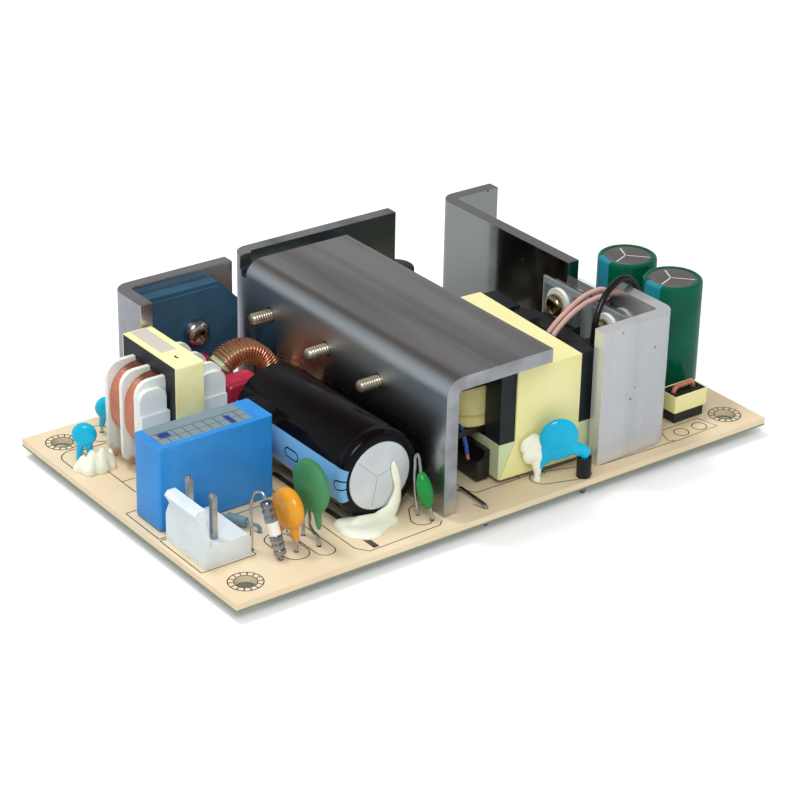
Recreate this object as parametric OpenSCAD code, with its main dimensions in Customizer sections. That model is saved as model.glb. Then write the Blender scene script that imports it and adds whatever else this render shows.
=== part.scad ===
// Open frame power supply: one board that carries the mains side on the left, the
// transformer in the middle and the output side on the right, with three bent
// aluminium heatsinks standing on it and no housing.
// Frame: X along the long edge of the board, Y from the connector edge to the back,
// Z up. The origin is the middle of the four mounting holes, on the board's underside.

/* [Board] */
// Length of the board
board_l = 127; // [127:1:150]
// Width of the board
board_w = 76.2; // [76.2:0.2:90]
// Thickness of the board
board_t = 1.6; // [1.2:0.2:2.4]
// Distance of the mounting holes from both edges
hole_margin = 5.715; // [5.5:0.005:6]
// Diameter of the mounting holes
hole_d = 4; // [3.2:0.1:4.4]
// How far the soldered joints stand out below the board
joint_h = 2; // [1.5:0.1:3]

/* [Heatsinks] */
// Thickness of the bent aluminium
sheet_t = 2.8; // [2.2:0.1:3]
// Outer radius of the bends
bend_r = 3.7; // [3.4:0.1:4.2]
// Height of the heatsink that covers the transformer
main_h = 28.2; // [27.5:0.1:34]
// Reach of its top plate
main_reach = 24.8; // [20:0.1:25]
// Height of the rectifier's heatsink
rectifier_h = 27.6; // [26:0.1:32]
// Height of the output heatsink
output_h = 28.3; // [27:0.1:34]

/* [Mains side] */
// Diameter of the bulk capacitor over its sleeve
bulk_d = 18; // [16:0.1:18.2]
// Length of the bulk capacitor
bulk_l = 35.5; // [31:0.5:36]
// Length of the boxed film capacitor
film_l = 24.8; // [22:0.1:25]
// Height of the boxed film capacitor
film_h = 17.1; // [14:0.1:20]
// Height of the line choke's core
choke_h = 22; // [21:0.1:24]
// Outer diameter of the toroid with its wire
toroid_d = 17.2; // [15:0.1:17.6]
// Number of turns on the toroid
toroid_turns = 26; // [18:1:28]
// Diameter of the varistor
varistor_d = 8.2; // [7:0.1:9]
// Diameter of the inrush thermistor
thermistor_d = 10.4; // [9:0.1:11]

/* [Transformer] */
// Width of the core
core_w = 21.8; // [20:0.1:22]
// Height of the core
core_h = 22; // [21:0.1:22.4]
// Depth of the core from front leg to back leg
core_depth = 32.6; // [30:0.1:33]
// How far the transformer stands turned on the board
core_turn = 3; // [0:0.5:4]

/* [Output side] */
// Diameter of the output capacitors
output_cap_d = 12.2; // [10:0.1:12.5]
// Height of the output capacitors
output_cap_h = 26; // [20:0.5:32]
// Number of pins on the output header
output_pin_count = 6; // [4:1:6]

/* [Fits] */
// Diameter of the thin leads
lead_d = 0.8; // [0.6:0.05:0.9]
// Clearance of a lead in its hole in the board
lead_gap = 0.2; // [0.1:0.05:0.3]
// Thickness of the insulating tape
tape_t = 0.25; // [0.15:0.05:0.3]

/* [Hidden] */

sheet_in = bend_r - sheet_t;      // inner radius of the bends
foot_w = 4;                       // tabs that hold the heatsinks in the board
foot_d = 1.6;
thick_lead_d = 1.1;
screw_d = 2.9;
hole_tap_d = 3;
pad_t = 0.3;                      // insulating pads behind the power parts

// Main heatsink: its wall, and where its screws pass
wall_x = 48.5;
wall_y0 = 4;
wall_y1 = 75.8;
flange_end_x = 88;
relief_y = 70;
transistor_y = [25.1, 42.1, 61.4];
transistor_z = 19.8;
wall_face = wall_x + sheet_t;

// Rectifier heatsink and its bridge
rect_x0 = 20.7;
rect_x1 = 47.3;
rect_y0 = 64.6;
rect_y1 = wall_y1;
bridge_x0 = 25.4;
bridge_w = 21;
bridge_t = 3.8;
bridge_z0 = 7.3;
bridge_h = 18.3;
bridge_y = rect_y1 - sheet_t - bridge_t;
bridge_mid = [bridge_x0 + bridge_w / 2, bridge_z0 + bridge_h / 2];
bridge_pitch = 5.08;

// Bulk capacitor, and the red capacitor behind it
bulk_mid_y = 28.25;
bulk_y0 = bulk_mid_y - bulk_l / 2;
bulk_x = wall_x - 1 - bulk_d / 2;
sleeve_t = 0.3;
bulk_pitch = 7.5;
front_line_x = 30.4;
front_line_y = bulk_y0 + bulk_l + 3.1;
front_line_l = 8;
front_line_w = 5;

// Film capacitor
film_x = 2.5;
film_y = 28.9;
film_w = 8.6;

// Input header
header_x = 1.9;
header_y = 13.2;
header_w = 12.8;
header_l = 10;
header_h = 11.2;
header_base_h = 4.3;
post_w = 1.14;
post_x = header_x + 3.6;
post_pitch = 7.92;
post_h = 13.5;
post_y = [for (s = [-1, 1]) header_y + header_w / 2 + s * post_pitch / 2];

// Fuse and the two discs beside it
fuse_foot = [15.2, 8.6, 0.9];
fuse_top = [14.3, 12, 10.7];
fuse_lead = [12.9, 14.6];
varistor_at = [19.1, 11.9, 7.7];
thermistor_at = [23.6, 11.2, 11.3];
left_disc_at = [4.5, 59.4, 6.8];
corner_disc_at = [15.3, 69.2, 5.3];
small_disc_d = 4.9;
disc_pitch = 5;

// Line choke
choke_x = 19.5;                   // middle of the choke
choke_y = 54.7;
choke_core_w = 6.2;
choke_core_l = 18.6;
choke_leg = 3.4;
choke_z0 = 0.9;
choke_flange_w = 19;
choke_flange_h = 19.8;
choke_plate_t = 1;
choke_section = choke_core_l / 2 - choke_leg - choke_plate_t / 2 - 0.1;

// Toroid, on its side against the main heatsink
toroid_x = wall_x - 0.5 - toroid_d / 2;
toroid_y = front_line_y + front_line_w + 1.5;
toroid_w = 6.2;
toroid_z = toroid_d / 2 + 0.35;
toroid_wire = 0.75;
toroid_in = 4.2;                  // radius of the free hole
ring_out = toroid_d / 2 - toroid_wire;
ring_in = toroid_in + toroid_wire;
loop_steps = 8;                   // points on each turn of its wire
last_step = toroid_turns * loop_steps - 1;
start_angle = -70;
end_angle = 250;
wide_from = 0.49;                 // the stretch of wide turns, as parts of the winding
wide_to = 0.68;
wide_by = 1.8;                    // how much wider those turns stand

// Transformer
core_x = 65;
core_y = 8;
core_z = 1;
core_leg = 4.9;
core_mid_leg = 9;
band_w = 15;
tape_top = 8.4;
coil_x0 = -16.4;                  // from the middle of the core
coil_x1 = 16.4;
rail_w = 2.95;
rail_h = 4.5;
coil_z0 = 10.2;
coil_z1 = 18.8;
core_mid_x = core_x + core_w / 2;

// Output heatsink
out_x0 = 85.4;
out_face = 101.3;
out_x1 = out_face + sheet_t;
out_y0 = 3.4;
out_y1 = wall_y1;
out_flange_x = 115.3;
notch_y0 = 20;
notch_y1 = 33;
notch_z = 24;
rectifier_y = [18.3, 33];
rectifier_z = 19.9;

// Output capacitors and choke
cap_x = 117.7;
cap_y = [19.8, 33.5];
out_choke = [109.6, 7.8];
out_choke_l = 8.2;
out_choke_w = 5;
out_choke_h = 6.4;

// Output header
out_header_x = board_l - 8.6;
out_header_y = 41.5;
out_pitch = 3.96;

small_can = [80.5, 63, 24];       // auxiliary capacitor: place and height
chip_at = [67, 55];
opto_at = [92, 58];

// Every lead that passes the board: its place and the diameter of its hole
function turned(p) = [core_mid_x + p.x * cos(core_turn) + p.y * sin(core_turn),
                      core_y - p.x * sin(core_turn) + p.y * cos(core_turn)];
bridge_leads = [for (i = [0:3]) [bridge_mid.x + (i - 1.5) * bridge_pitch, bridge_y + bridge_t / 2]];
bulk_leads = [for (s = [-1, 1]) [bulk_x + s * bulk_pitch / 2, bulk_y0 + bulk_l + 1.2]];
film_leads = [for (s = [-1, 1]) [film_x + film_l / 2 + s * 11 * film_l / 24.8, film_y + film_w / 2]];
header_leads = [for (y = post_y) [post_x, y]];
fuse_leads = [[fuse_foot.x, fuse_foot.y], fuse_lead];
varistor_leads = [for (s = [-1, 1]) [varistor_at.x, varistor_at.y + s * disc_pitch / 2]];
thermistor_leads = [for (s = [-1, 1]) [thermistor_at.x, thermistor_at.y + s * disc_pitch / 2]];
resistor_leads = [[13.4, 25.1 + 2.6], [17.6, 19]];
front_disc_leads = [[72.3, 5.7], [80.7, 1.9]];
left_disc_leads = [for (s = [-1, 1]) [left_disc_at.x + s, left_disc_at.y - s * 0.75]];
corner_disc_leads = [for (s = [-1, 1]) [corner_disc_at.x + s, corner_disc_at.y - s * 0.75]];
choke_leads = [for (sx = [-1, 1]) for (sy = [-1, 1])
                [choke_x + sx * (choke_flange_w / 2 - 1.5), choke_y + sy * choke_section]];
toroid_leads = [for (i = [0, last_step]) [wound(i).x, wound(i).y]];
front_line_leads = [for (s = [-1, 1]) [front_line_x + front_line_l / 2 + s * 2.5, front_line_y + front_line_w / 2]];
rear_line_leads = [for (s = [-1, 1]) [34.2 + s * 1.8, 66.2]];
core_pins = [for (sx = [-1, 1]) for (i = [0:4]) [sx * (core_w / 2 + 2.6), 5.5 + i * 5]];
transistor_leads = [for (y = transistor_y) for (i = [-1:1]) [wall_face + pad_t + 2.5, y + i * 2.54]];
rectifier_leads = [for (y = rectifier_y) for (i = [-1:1]) [out_face - pad_t - 2.5, y + i * 2.54]];
cap_leads = [for (y = cap_y) for (s = [-1, 1]) [cap_x + s * 2.5, y]];
out_choke_leads = [for (s = [-1, 1]) [out_choke.x + out_choke_l / 2 + s * 2.6, out_choke.y + 2.5]];
header_pins = [for (i = [0:output_pin_count - 1]) [out_header_x + 2.8, out_header_y + out_pitch * (i + 0.5)]];
jumper_leads = [[57.7, 10.9], [57.4, 2.6]];
bead_leads = [[45.4, bulk_y0 - 2.7], [46.3, bulk_y0 - 5.8]];
flying_leads = [[107.2, 22.4], [107.2, 25.2]];
black_leads = [[106.9, 17.6]];
can_leads = [for (s = [-1, 1]) [small_can.x + s * 1.75, small_can.y]];
chip_leads = [for (sx = [-1, 1]) for (i = [-1.5:1:1.5]) [chip_at.x + sx * 3.81, chip_at.y + i * 2.54]];
opto_leads = [for (sx = [-1, 1]) for (i = [-0.5, 0.5]) [opto_at.x + sx * 3.81, opto_at.y + i * 2.54]];

thin_leads = concat(film_leads, fuse_leads, varistor_leads, thermistor_leads, resistor_leads,
                    front_disc_leads, left_disc_leads, corner_disc_leads, choke_leads, toroid_leads,
                    front_line_leads, rear_line_leads, [for (p = core_pins) turned(p)],
                    transistor_leads, rectifier_leads, cap_leads, jumper_leads, bead_leads,
                    can_leads, chip_leads, opto_leads, bulk_leads);
thick_leads = concat(bridge_leads, out_choke_leads, flying_leads, black_leads);
square_leads = concat(header_leads, header_pins);
feet = [[rect_x0 + 9, rect_y1 - sheet_t / 2, 0], [rect_x0 + 22, rect_y1 - sheet_t / 2, 0],
        [wall_x + sheet_t / 2, 14, 90], [wall_x + sheet_t / 2, 66, 90], [78, wall_y1 - sheet_t / 2, 0],
        [94, out_y0 + sheet_t / 2, 0], [out_x1 - sheet_t / 2, 42, 90], [out_x1 - sheet_t / 2, 66, 90]];

hole_places = [for (x = [hole_margin, board_l - hole_margin])
               for (y = [hole_margin, board_w - hole_margin]) [x, y]];

// ---- Shared shapes ----------------------------------------------------------

// Moves to a place measured from the board's front left corner, on its top face
module at(x, y, z = 0) {
    translate([x - board_l / 2, y - board_w / 2, board_t + z]) children();
}

function arc(c, r, a0, a1, n) =
    [for (i = [0:n]) let (a = a0 + (a1 - a0) * i / n) [c.x + r * cos(a), c.y + r * sin(a)]];

function round_rect(x0, y0, x1, y1, r, n = 4) = concat(
    arc([x1 - r, y1 - r], r, 0, 90, n), arc([x0 + r, y1 - r], r, 90, 180, n),
    arc([x0 + r, y0 + r], r, 180, 270, n), arc([x1 - r, y0 + r], r, 270, 360, n));

// Half outline of a dipped disc: nearly flat in the middle, thinning to a round rim
function disc_half(r, t, n = 6) = concat(
    [[0, -t / 2]],
    [for (i = [1:n]) let (a = -90 + 180 * i / (n + 1)) [r * sqrt(cos(a)), t / 2 * sin(a)]],
    [[0, t / 2]]);

// Turns +Z to run from p towards q, starting at p
module along(p, q) {
    v = q - p;
    translate(p) rotate([0, acos(v.z / norm(v)), atan2(v.y, v.x)]) children();
}

module rod(p, q, r1, r2) {
    along(p, q) cylinder(h = norm(q - p), r1 = r1, r2 = r2, $fn = 20);
}

function unit(v) = v / norm(v);
function heading(path, i) =
    let (n = len(path) - 1)
    i == 0 ? unit(path[1] - path[0]) :
    i == n ? unit(path[n] - path[n - 1]) :
    unit(unit(path[i] - path[i - 1]) + unit(path[i + 1] - path[i]));
function sideways(v) = abs(v.z) < 0.9 ? unit(cross(v, [0, 0, 1])) : unit(cross(v, [0, 1, 0]));
function carried(path, i) =
    i == 0 ? sideways(heading(path, 0)) :
    let (before = carried(path, i - 1), h = heading(path, i))
    unit(before - h * (before * h));

// A bent wire: a round section swept along its points, square to it at both ends
module wire(path, d, sides = 8) {
    n = len(path);
    points = [for (i = [0:n - 1])
        let (h = heading(path, i), u = carried(path, i), w = cross(h, u))
        for (k = [0:sides - 1]) let (a = 360 * (k + 0.5) / sides)
            path[i] + (u * cos(a) + w * sin(a)) * d / 2];
    skin = [for (i = [0:n - 2]) for (k = [0:sides - 1])
        let (a = i * sides + k, b = i * sides + (k + 1) % sides)
        each [[a, a + sides, b], [b, a + sides, b + sides]]];
    polyhedron(points, concat(skin, [[for (k = [0:sides - 1]) k]],
                              [[for (k = [sides - 1:-1:0]) (n - 1) * sides + k]]), convexity = 4);
}

// A straight lead from the underside of the board up to a height above it
module lead(p, top, d = lead_d) {
    at(p.x, p.y, -board_t) cylinder(d = d, h = board_t + top, $fn = 16);
}

// A quarter bend of sheet: its axis is Z and it spans the first quadrant from angle a
module sheet_bend(a, h) {
    rotate([0, 0, a])
        rotate_extrude(angle = 90, $fn = 48)
            translate([sheet_in, 0]) square([sheet_t, h]);
}

module foot_tab(f) {
    at(f.x, f.y, -board_t) rotate([0, 0, f.z])
        translate([-foot_w / 2, -foot_d / 2, 0]) cube([foot_w, foot_d, board_t + 0.5]);
}

// Pan head with a domed top, along +Z from its seat, and its shank below
module pan_screw(head_r, head_h, shank_l) {
    rotate_extrude($fn = 32)
        polygon(concat([[0, 0], [head_r, 0]], arc([head_r - 0.9, head_h - 0.9], 0.9, 0, 90, 4), [[0, head_h]]));
    translate([0, 0, -shank_l]) cylinder(d = screw_d, h = shank_l + 0.1, $fn = 24);
}

// ---- Board ------------------------------------------------------------------

module circuit_board() {
    color("#dcc192")
    difference() {
        at(0, 0, -board_t) cube([board_l, board_w, board_t]);
        for (p = hole_places) at(p.x, p.y, -board_t - 1) cylinder(d = hole_d, h = board_t + 2, $fn = 48);
        for (p = thin_leads)
            at(p.x, p.y, -board_t - 1) cylinder(d = lead_d + lead_gap, h = board_t + 2, $fn = 16);
        for (p = thick_leads)
            at(p.x, p.y, -board_t - 1) cylinder(d = thick_lead_d + lead_gap, h = board_t + 2, $fn = 16);
        for (p = square_leads)
            at(p.x, p.y, -board_t - 1) cylinder(d = post_w * sqrt(2) + lead_gap, h = board_t + 2, $fn = 16);
        for (f = feet)
            at(f.x, f.y, -board_t - 1) rotate([0, 0, f.z])
                translate([-foot_w / 2 - 0.1, -foot_d / 2 - 0.1, 0]) cube([foot_w + 0.2, foot_d + 0.2, board_t + 2]);
    }
}

// A cone of solder under each lead, all cut off at the same depth
module solder_cone(p, r_top, r_tip) {
    at(p.x, p.y, -board_t - joint_h) cylinder(h = joint_h, r1 = r_tip, r2 = r_top, $fn = 16);
}

module solder_joints() {
    color("#c9ccd0") {
        for (p = thin_leads) solder_cone(p, 1.05, 0.4);
        for (p = concat(thick_leads, square_leads)) solder_cone(p, 1.4, 0.6);
        for (f = feet) for (s = [-1, 1])
            solder_cone([f.x + s * foot_w * 0.3 * cos(f.z), f.y + s * foot_w * 0.3 * sin(f.z)], 1.7, 0.7);
    }
}

// ---- Rectifier heatsink -----------------------------------------------------

module rectifier_heatsink() {
    color("#a9aeb1")
    difference() {
        union() {
            at(rect_x0, rect_y0) cube([sheet_t, rect_y1 - bend_r - rect_y0, rectifier_h]);
            at(rect_x0 + bend_r, rect_y1 - bend_r) sheet_bend(90, rectifier_h);
            at(rect_x0 + bend_r, rect_y1 - sheet_t) cube([rect_x1 - rect_x0 - bend_r, sheet_t, rectifier_h]);
            for (i = [0, 1]) foot_tab(feet[i]);
        }
        at(bridge_mid.x, rect_y1 + 1, bridge_mid.y)
            rotate([90, 0, 0]) cylinder(d = hole_tap_d, h = sheet_t + 2, $fn = 24);
    }
}

module bridge_rectifier() {
    corner = 4.6;
    bevel = 0.7;
    x1 = bridge_x0 + bridge_w;
    z1 = bridge_z0 + bridge_h;
    color("#2b3e4e")
    difference() {
        union() {
            at(0, bridge_y + bridge_t) rotate([90, 0, 0])
                linear_extrude(bridge_t - bevel)
                    polygon([[bridge_x0, bridge_z0], [x1, bridge_z0], [x1, z1 - corner],
                             [x1 - corner, z1], [bridge_x0, z1]]);
            at(0, bridge_y + bevel + 0.1) rotate([90, 0, 0])
                linear_extrude(bevel + 0.1)
                    polygon([[bridge_x0 + bevel, bridge_z0 + bevel], [x1 - bevel, bridge_z0 + bevel],
                             [x1 - bevel, z1 - corner - bevel / 2], [x1 - corner - bevel / 2, z1 - bevel],
                             [bridge_x0 + bevel, z1 - bevel]]);
        }
        at(bridge_mid.x, bridge_y + bridge_t + 1, bridge_mid.y)
            rotate([90, 0, 0]) cylinder(d = 3.3, h = bridge_t + 2, $fn = 32);
    }
    color("#c9ccd0")
        for (p = bridge_leads) lead(p, bridge_z0 + 0.2, thick_lead_d);
}

module rectifier_screw() {
    color("#b9b4ac")
        at(bridge_mid.x, bridge_y, bridge_mid.y)
            rotate([90, 0, 0]) pan_screw(2.8, 2.2, bridge_t + sheet_t);
}

// ---- Main heatsink ----------------------------------------------------------

module main_heatsink() {
    top_x = wall_x + main_reach;
    flange_h = main_h + 0.6;
    color("#9a9ea1")
    difference() {
        union() {
            // wall up to the start of the top bend, and on to the back bend
            at(wall_x, wall_y0) cube([sheet_t, wall_y1 - bend_r - wall_y0, main_h - bend_r]);
            at(wall_x + bend_r, wall_y1 - bend_r) sheet_bend(90, flange_h);
            at(wall_x, relief_y + 1.6) cube([sheet_t, wall_y1 - bend_r - relief_y - 1.6, flange_h - 3]);
            at(wall_x + bend_r, wall_y1 - sheet_t)
                cube([flange_end_x - wall_x - bend_r, sheet_t, flange_h]);
            // top bend about a line along Y, then the plate that covers the transformer
            at(wall_x + bend_r, relief_y, main_h - bend_r)
                rotate([90, 0, 0]) sheet_bend(90, relief_y - wall_y0);
            at(wall_x + bend_r, wall_y0, main_h - sheet_t)
                cube([top_x - wall_x - bend_r, relief_y - wall_y0, sheet_t]);
            for (i = [2, 3, 4]) foot_tab(feet[i]);
        }
        for (y = transistor_y)
            at(wall_x - 1, y, transistor_z)
                rotate([0, 90, 0]) cylinder(d = hole_tap_d, h = sheet_t + 2, $fn = 24);
    }
}

// Power part in a moulded package with a metal tab: it stands on its leads with the tab
// against a wall at x = 0 and faces +X; its screw hole is at height z
module tab_package(z) {
    difference() {
        union() {
            translate([0, -5, z - 12.8]) cube([1.3, 10, 15.6]);
            translate([0, -5, z - 13.2]) cube([4.5, 10, 9.4]);
        }
        translate([-1, 0, z]) rotate([0, 90, 0]) cylinder(d = 3.6, h = 4, $fn = 24);
        translate([3.7, 0, z - 8.5]) rotate([0, 90, 0]) cylinder(d = 2, h = 2, $fn = 20);
    }
}

module transistors() {
    for (y = transistor_y) {
        color("#26282b") at(wall_face + pad_t, y) tab_package(transistor_z);
        color("#c9ccd0")
            for (i = [-1:1])
                lead([wall_face + pad_t + 2.5, y + i * 2.54], transistor_z - 13, lead_d);
    }
}

module transistor_pads() {
    color("#9a8f95")
        for (y = transistor_y)
            at(wall_face, y)
                difference() {
                    translate([0, -6, transistor_z - 14]) cube([pad_t, 12, 18]);
                    translate([-1, 0, transistor_z]) rotate([0, 90, 0]) cylinder(d = 3.6, h = 2, $fn = 24);
                }
}

module transistor_screws() {
    color("#b9b4ac")
        for (y = transistor_y)
            at(wall_face + pad_t + 1.3, y, transistor_z)
                rotate([0, 90, 0]) pan_screw(2.8, 2.1, pad_t + 1.3 + sheet_t + 4.6);
}

// ---- Bulk capacitor ---------------------------------------------------------

// Axis along Z from the vent end; the can is closed there and has a groove near its bung
module can_outline(r, l, rim) {
    groove = 0.5;
    groove_at = l - 3.2;
    polygon(concat([[0, 0.6], [rim - 0.7, 0.6], [rim - 0.5, 0.1]],
                   arc([r - 1, 1], 1, -90, 0, 4),
                   [[r, groove_at - 1]],
                   [for (i = [1:5]) [r - groove * sin(180 * i / 6), groove_at - 1 + 2 * i / 6]],
                   [[r, groove_at + 1], [r, l - 0.3], [r - 0.5, l], [0, l]]));
}

module bulk_capacitor() {
    color("#cfd3d6") {
        at(bulk_x, bulk_y0 + 0.2, bulk_d / 2 + 0.05)
            rotate([-90, 0, 0])
                rotate_extrude($fn = 64) can_outline(bulk_d / 2 - sleeve_t - 0.03, bulk_l - 0.4, bulk_d / 2 - 2.2);
        for (p = bulk_leads) {
            x = p.x - board_l / 2;
            y = p.y - board_w / 2;
            z = board_t + bulk_d / 2;
            wire([[x, y - 1.5, z], [x, y - 0.5, z], [x, y - 0.1, z - 0.2], [x, y, z - 0.8], [x, y, 0]], lead_d);
        }
    }
}

module bulk_sleeve() {
    r = bulk_d / 2;
    color("#241a1e")
        at(bulk_x, bulk_y0, r + 0.05)
            rotate([-90, 0, 0])
                rotate_extrude($fn = 64)
                    polygon(concat([[r - 2.2, 0.15], [r - 2.2, 0]],
                                   arc([r - 1.1, 1.1], 1.1, -90, 0, 5),
                                   [[r, bulk_l - 0.4], [r - 0.4, bulk_l], [r - 1.6, bulk_l],
                                    [r - 1.6, bulk_l - 0.18], [r - sleeve_t - 0.5, bulk_l - 0.18],
                                    [r - sleeve_t, bulk_l - 0.45]],
                                   arc([r - sleeve_t - 1, 1.2], 1, 0, -90, 5)));
}

// ---- Film capacitor ---------------------------------------------------------

module film_capacitor() {
    wall = 0.5;
    color("#2f7ac8") {
        at(film_x, film_y, 0.35)
            linear_extrude(film_h - 0.35) polygon(round_rect(0, 0, film_l, film_w, 0.5));
        for (x = [wall, film_l - wall - 1.5])
            for (y = [wall, film_w - wall - 1.5])
                at(film_x + x, film_y + y) cube([1.5, 1.5, 0.4]);
    }
    color("#c9ccd0") for (p = film_leads) lead(p, 0.5);
}

// ---- Input header and its two posts -----------------------------------------

module input_header() {
    color("#dbe4e6")
    difference() {
        union() {
            // base with a lower front step
            at(header_x, header_y) rotate([90, 0, 0]) mirror([0, 0, 1])
                linear_extrude(header_w)
                    polygon([[0, 0], [header_l, 0], [header_l, header_base_h - 0.6],
                             [header_l - 0.6, header_base_h], [0, header_base_h]]);
            // locking plate, narrower at its top
            at(header_x, header_y) rotate([90, 0, 90])
                linear_extrude(1.3)
                    polygon([[0, 0], [header_w, 0], [header_w, header_base_h + 1.6],
                             [header_w - 1.3, header_h - 2.6], [header_w - 1.3, header_h],
                             [1.3, header_h], [1.3, header_h - 2.6], [0, header_base_h + 1.6]]);
            // ramp along the plate's top edge
            at(header_x, header_y + 1.3) rotate([90, 0, 0]) mirror([0, 0, 1])
                linear_extrude(header_w - 2.6)
                    polygon([[0.2, header_h - 3], [0.2, header_h], [-0.3, header_h], [-1, header_h - 0.8]]);
        }
        for (y = post_y)
            at(post_x - post_w / 2 - 0.03, y - post_w / 2 - 0.03, -1)
                cube([post_w + 0.06, post_w + 0.06, header_base_h + 2]);
    }
}

// Square post with a four-sided point at both ends of its height
module square_post(p, top) {
    h = board_t + top;
    side = [[-post_w / 2, 0], [post_w / 2, 0], [post_w / 2, h - 0.6], [post_w / 4, h],
            [-post_w / 4, h], [-post_w / 2, h - 0.6]];
    at(p.x, p.y, -board_t)
        intersection() {
            rotate([90, 0, 0]) translate([0, 0, -post_w]) linear_extrude(2 * post_w) polygon(side);
            rotate([90, 0, 90]) translate([0, 0, -post_w]) linear_extrude(2 * post_w) polygon(side);
        }
}

module input_pins() {
    color("#b8b5a8") for (p = header_leads) square_post(p, post_h);
}

// ---- Fuse, varistor, thermistor, resistor -----------------------------------

fuse_axis = unit(fuse_top - fuse_foot);
fuse_l = norm(fuse_top - fuse_foot);
cap_l = fuse_l * 0.36;

module fuse_body() {
    color("#e3eaec")
        at(0, 0) rod(fuse_foot + fuse_axis * (cap_l - 0.6), fuse_top - fuse_axis * (cap_l - 0.6), 1.03, 1.03);
}

module fuse_caps() {
    color("#6d767c") {
        difference() {
            union() {
                at(0, 0) rod(fuse_foot, fuse_foot + fuse_axis * cap_l, 1.2, 1.2);
                at(0, 0) rod(fuse_top - fuse_axis * cap_l, fuse_top, 1.2, 1.2);
            }
            at(0, 0) rod(fuse_foot + fuse_axis * (cap_l - 0.62), fuse_top - fuse_axis * (cap_l - 0.62), 1.05, 1.05);
        }
        at(0, 0) wire([fuse_foot + fuse_axis * 0.3, fuse_foot - fuse_axis * 0.3,
                       [fuse_foot.x, fuse_foot.y, 0.1], [fuse_foot.x, fuse_foot.y, -board_t]], lead_d);
        at(0, 0) wire([fuse_top - fuse_axis * 0.3, fuse_top + fuse_axis * 0.5, [14.15, 12.9, 12.1],
                       [13.85, 13.7, 12.3], [13.4, 14.3, 11.9], [13.05, 14.6, 11],
                       [fuse_lead.x, fuse_lead.y, 9.5], [fuse_lead.x, fuse_lead.y, -board_t]], lead_d);
    }
}

// Dipped disc standing on two leads; its plane is turned from X by the given angle
module dipped_disc(c, r, t, leads, neck_z) {
    a = atan2(leads[1].y - leads[0].y, leads[1].x - leads[0].x);
    at(c.x, c.y, c.z) rotate([0, 0, a]) rotate([90, 0, 0])
        rotate_extrude($fn = 40) polygon(disc_half(r, t));
    for (p = leads)
        at(0, 0) rod([p.x, p.y, neck_z], [(p.x + c.x) / 2, (p.y + c.y) / 2, c.z - r * 0.25],
                     lead_d / 2 + 0.15, t * 0.36);
}

module varistor() {
    color("#dc9222") dipped_disc(varistor_at, varistor_d / 2, 3.4, varistor_leads, 1.8);
    color("#c9ccd0") for (p = varistor_leads) lead(p, 2);
}

module thermistor() {
    color("#4a8a58") dipped_disc(thermistor_at, thermistor_d / 2, 3, thermistor_leads, 4.2);
    color("#c9ccd0") for (p = thermistor_leads) lead(p, 4.4);
}

module discharge_resistor() {
    a = resistor_leads[0];
    b = resistor_leads[1];
    p = [a.x, a.y, 1.3];
    q = [b.x, b.y, 1.3];
    u = unit(q - p);
    mid = (p + q) / 2;
    color("#4a6c86") at(0, 0) rod(mid - u * 2, mid + u * 2, 0.95, 0.95);
    color("#c9ccd0")
        at(0, 0) wire([[a.x, a.y, -board_t], [a.x, a.y, 0.8], p + u * 0.5, mid - u, mid + u, q - u * 0.5,
                       [b.x, b.y, 0.8], [b.x, b.y, -board_t]], lead_d);
}

// ---- Disc capacitors --------------------------------------------------------

module front_disc_capacitor() {
    a = front_disc_leads[0];
    b = front_disc_leads[1];
    c = [75.9, 4.2, 8.9];
    color("#00a8d8") {
        at(c.x, c.y, c.z) rotate([0, 0, atan2(b.y - a.y, b.x - a.x)]) rotate([90, 0, 0])
            rotate_extrude($fn = 40) polygon(disc_half(3.9, 2.6));
        at(0, 0) rod([a.x + 0.3, a.y - 0.1, 1.6], [a.x + 2, a.y - 0.9, 6.6], 0.5, 1.05);
        at(0, 0) wire([[77.8, 3.3, 6.6], [79, 2.7, 5.8], [80.1, 2.2, 5.3], [b.x, b.y, 4.7], [b.x, b.y, 3.9]], 2);
    }
    color("#c9ccd0") {
        at(0, 0) wire([[a.x, a.y, -board_t], [a.x, a.y, 0.4], [a.x + 0.35, a.y - 0.15, 2]], lead_d);
        lead(b, 4.5);
    }
}

module left_disc_capacitor() {
    color("#00a8d8") dipped_disc(left_disc_at, small_disc_d / 2, 2.4, left_disc_leads, 0.9);
    color("#c9ccd0") for (p = left_disc_leads) lead(p, 1);
}

module corner_disc_capacitor() {
    color("#00a8d8") dipped_disc(corner_disc_at, small_disc_d / 2, 2.4, corner_disc_leads, 1.2);
    color("#c9ccd0") for (p = corner_disc_leads) lead(p, 1.4);
}

module lead_sleeve() {
    b = front_disc_leads[1];
    color("#1f2226")
        at(b.x, b.y) difference() {
            cylinder(d = 2.9, h = 4.3, $fn = 32);
            translate([0, 0, -1]) cylinder(d = 2.2, h = 7, $fn = 32);
        }
}

// ---- Line choke -------------------------------------------------------------

// Core: three bars along Y joined at both ends, with the coil on the middle bar
module choke_core() {
    window_l = choke_core_l - 2 * choke_leg;
    top = choke_z0 + choke_h;
    mid = (choke_z0 + top) / 2;
    color("#33383a")
        at(choke_x - choke_core_w / 2, choke_y - choke_core_l / 2)
            difference() {
                translate([0, 0, choke_z0]) cube([choke_core_w, choke_core_l, choke_h]);
                for (z = [[choke_z0 + choke_leg, mid - 1.8], [mid + 1.8, top - choke_leg]])
                    translate([-1, choke_leg, z[0]]) cube([choke_core_w + 2, window_l, z[1] - z[0]]);
            }
}

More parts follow.
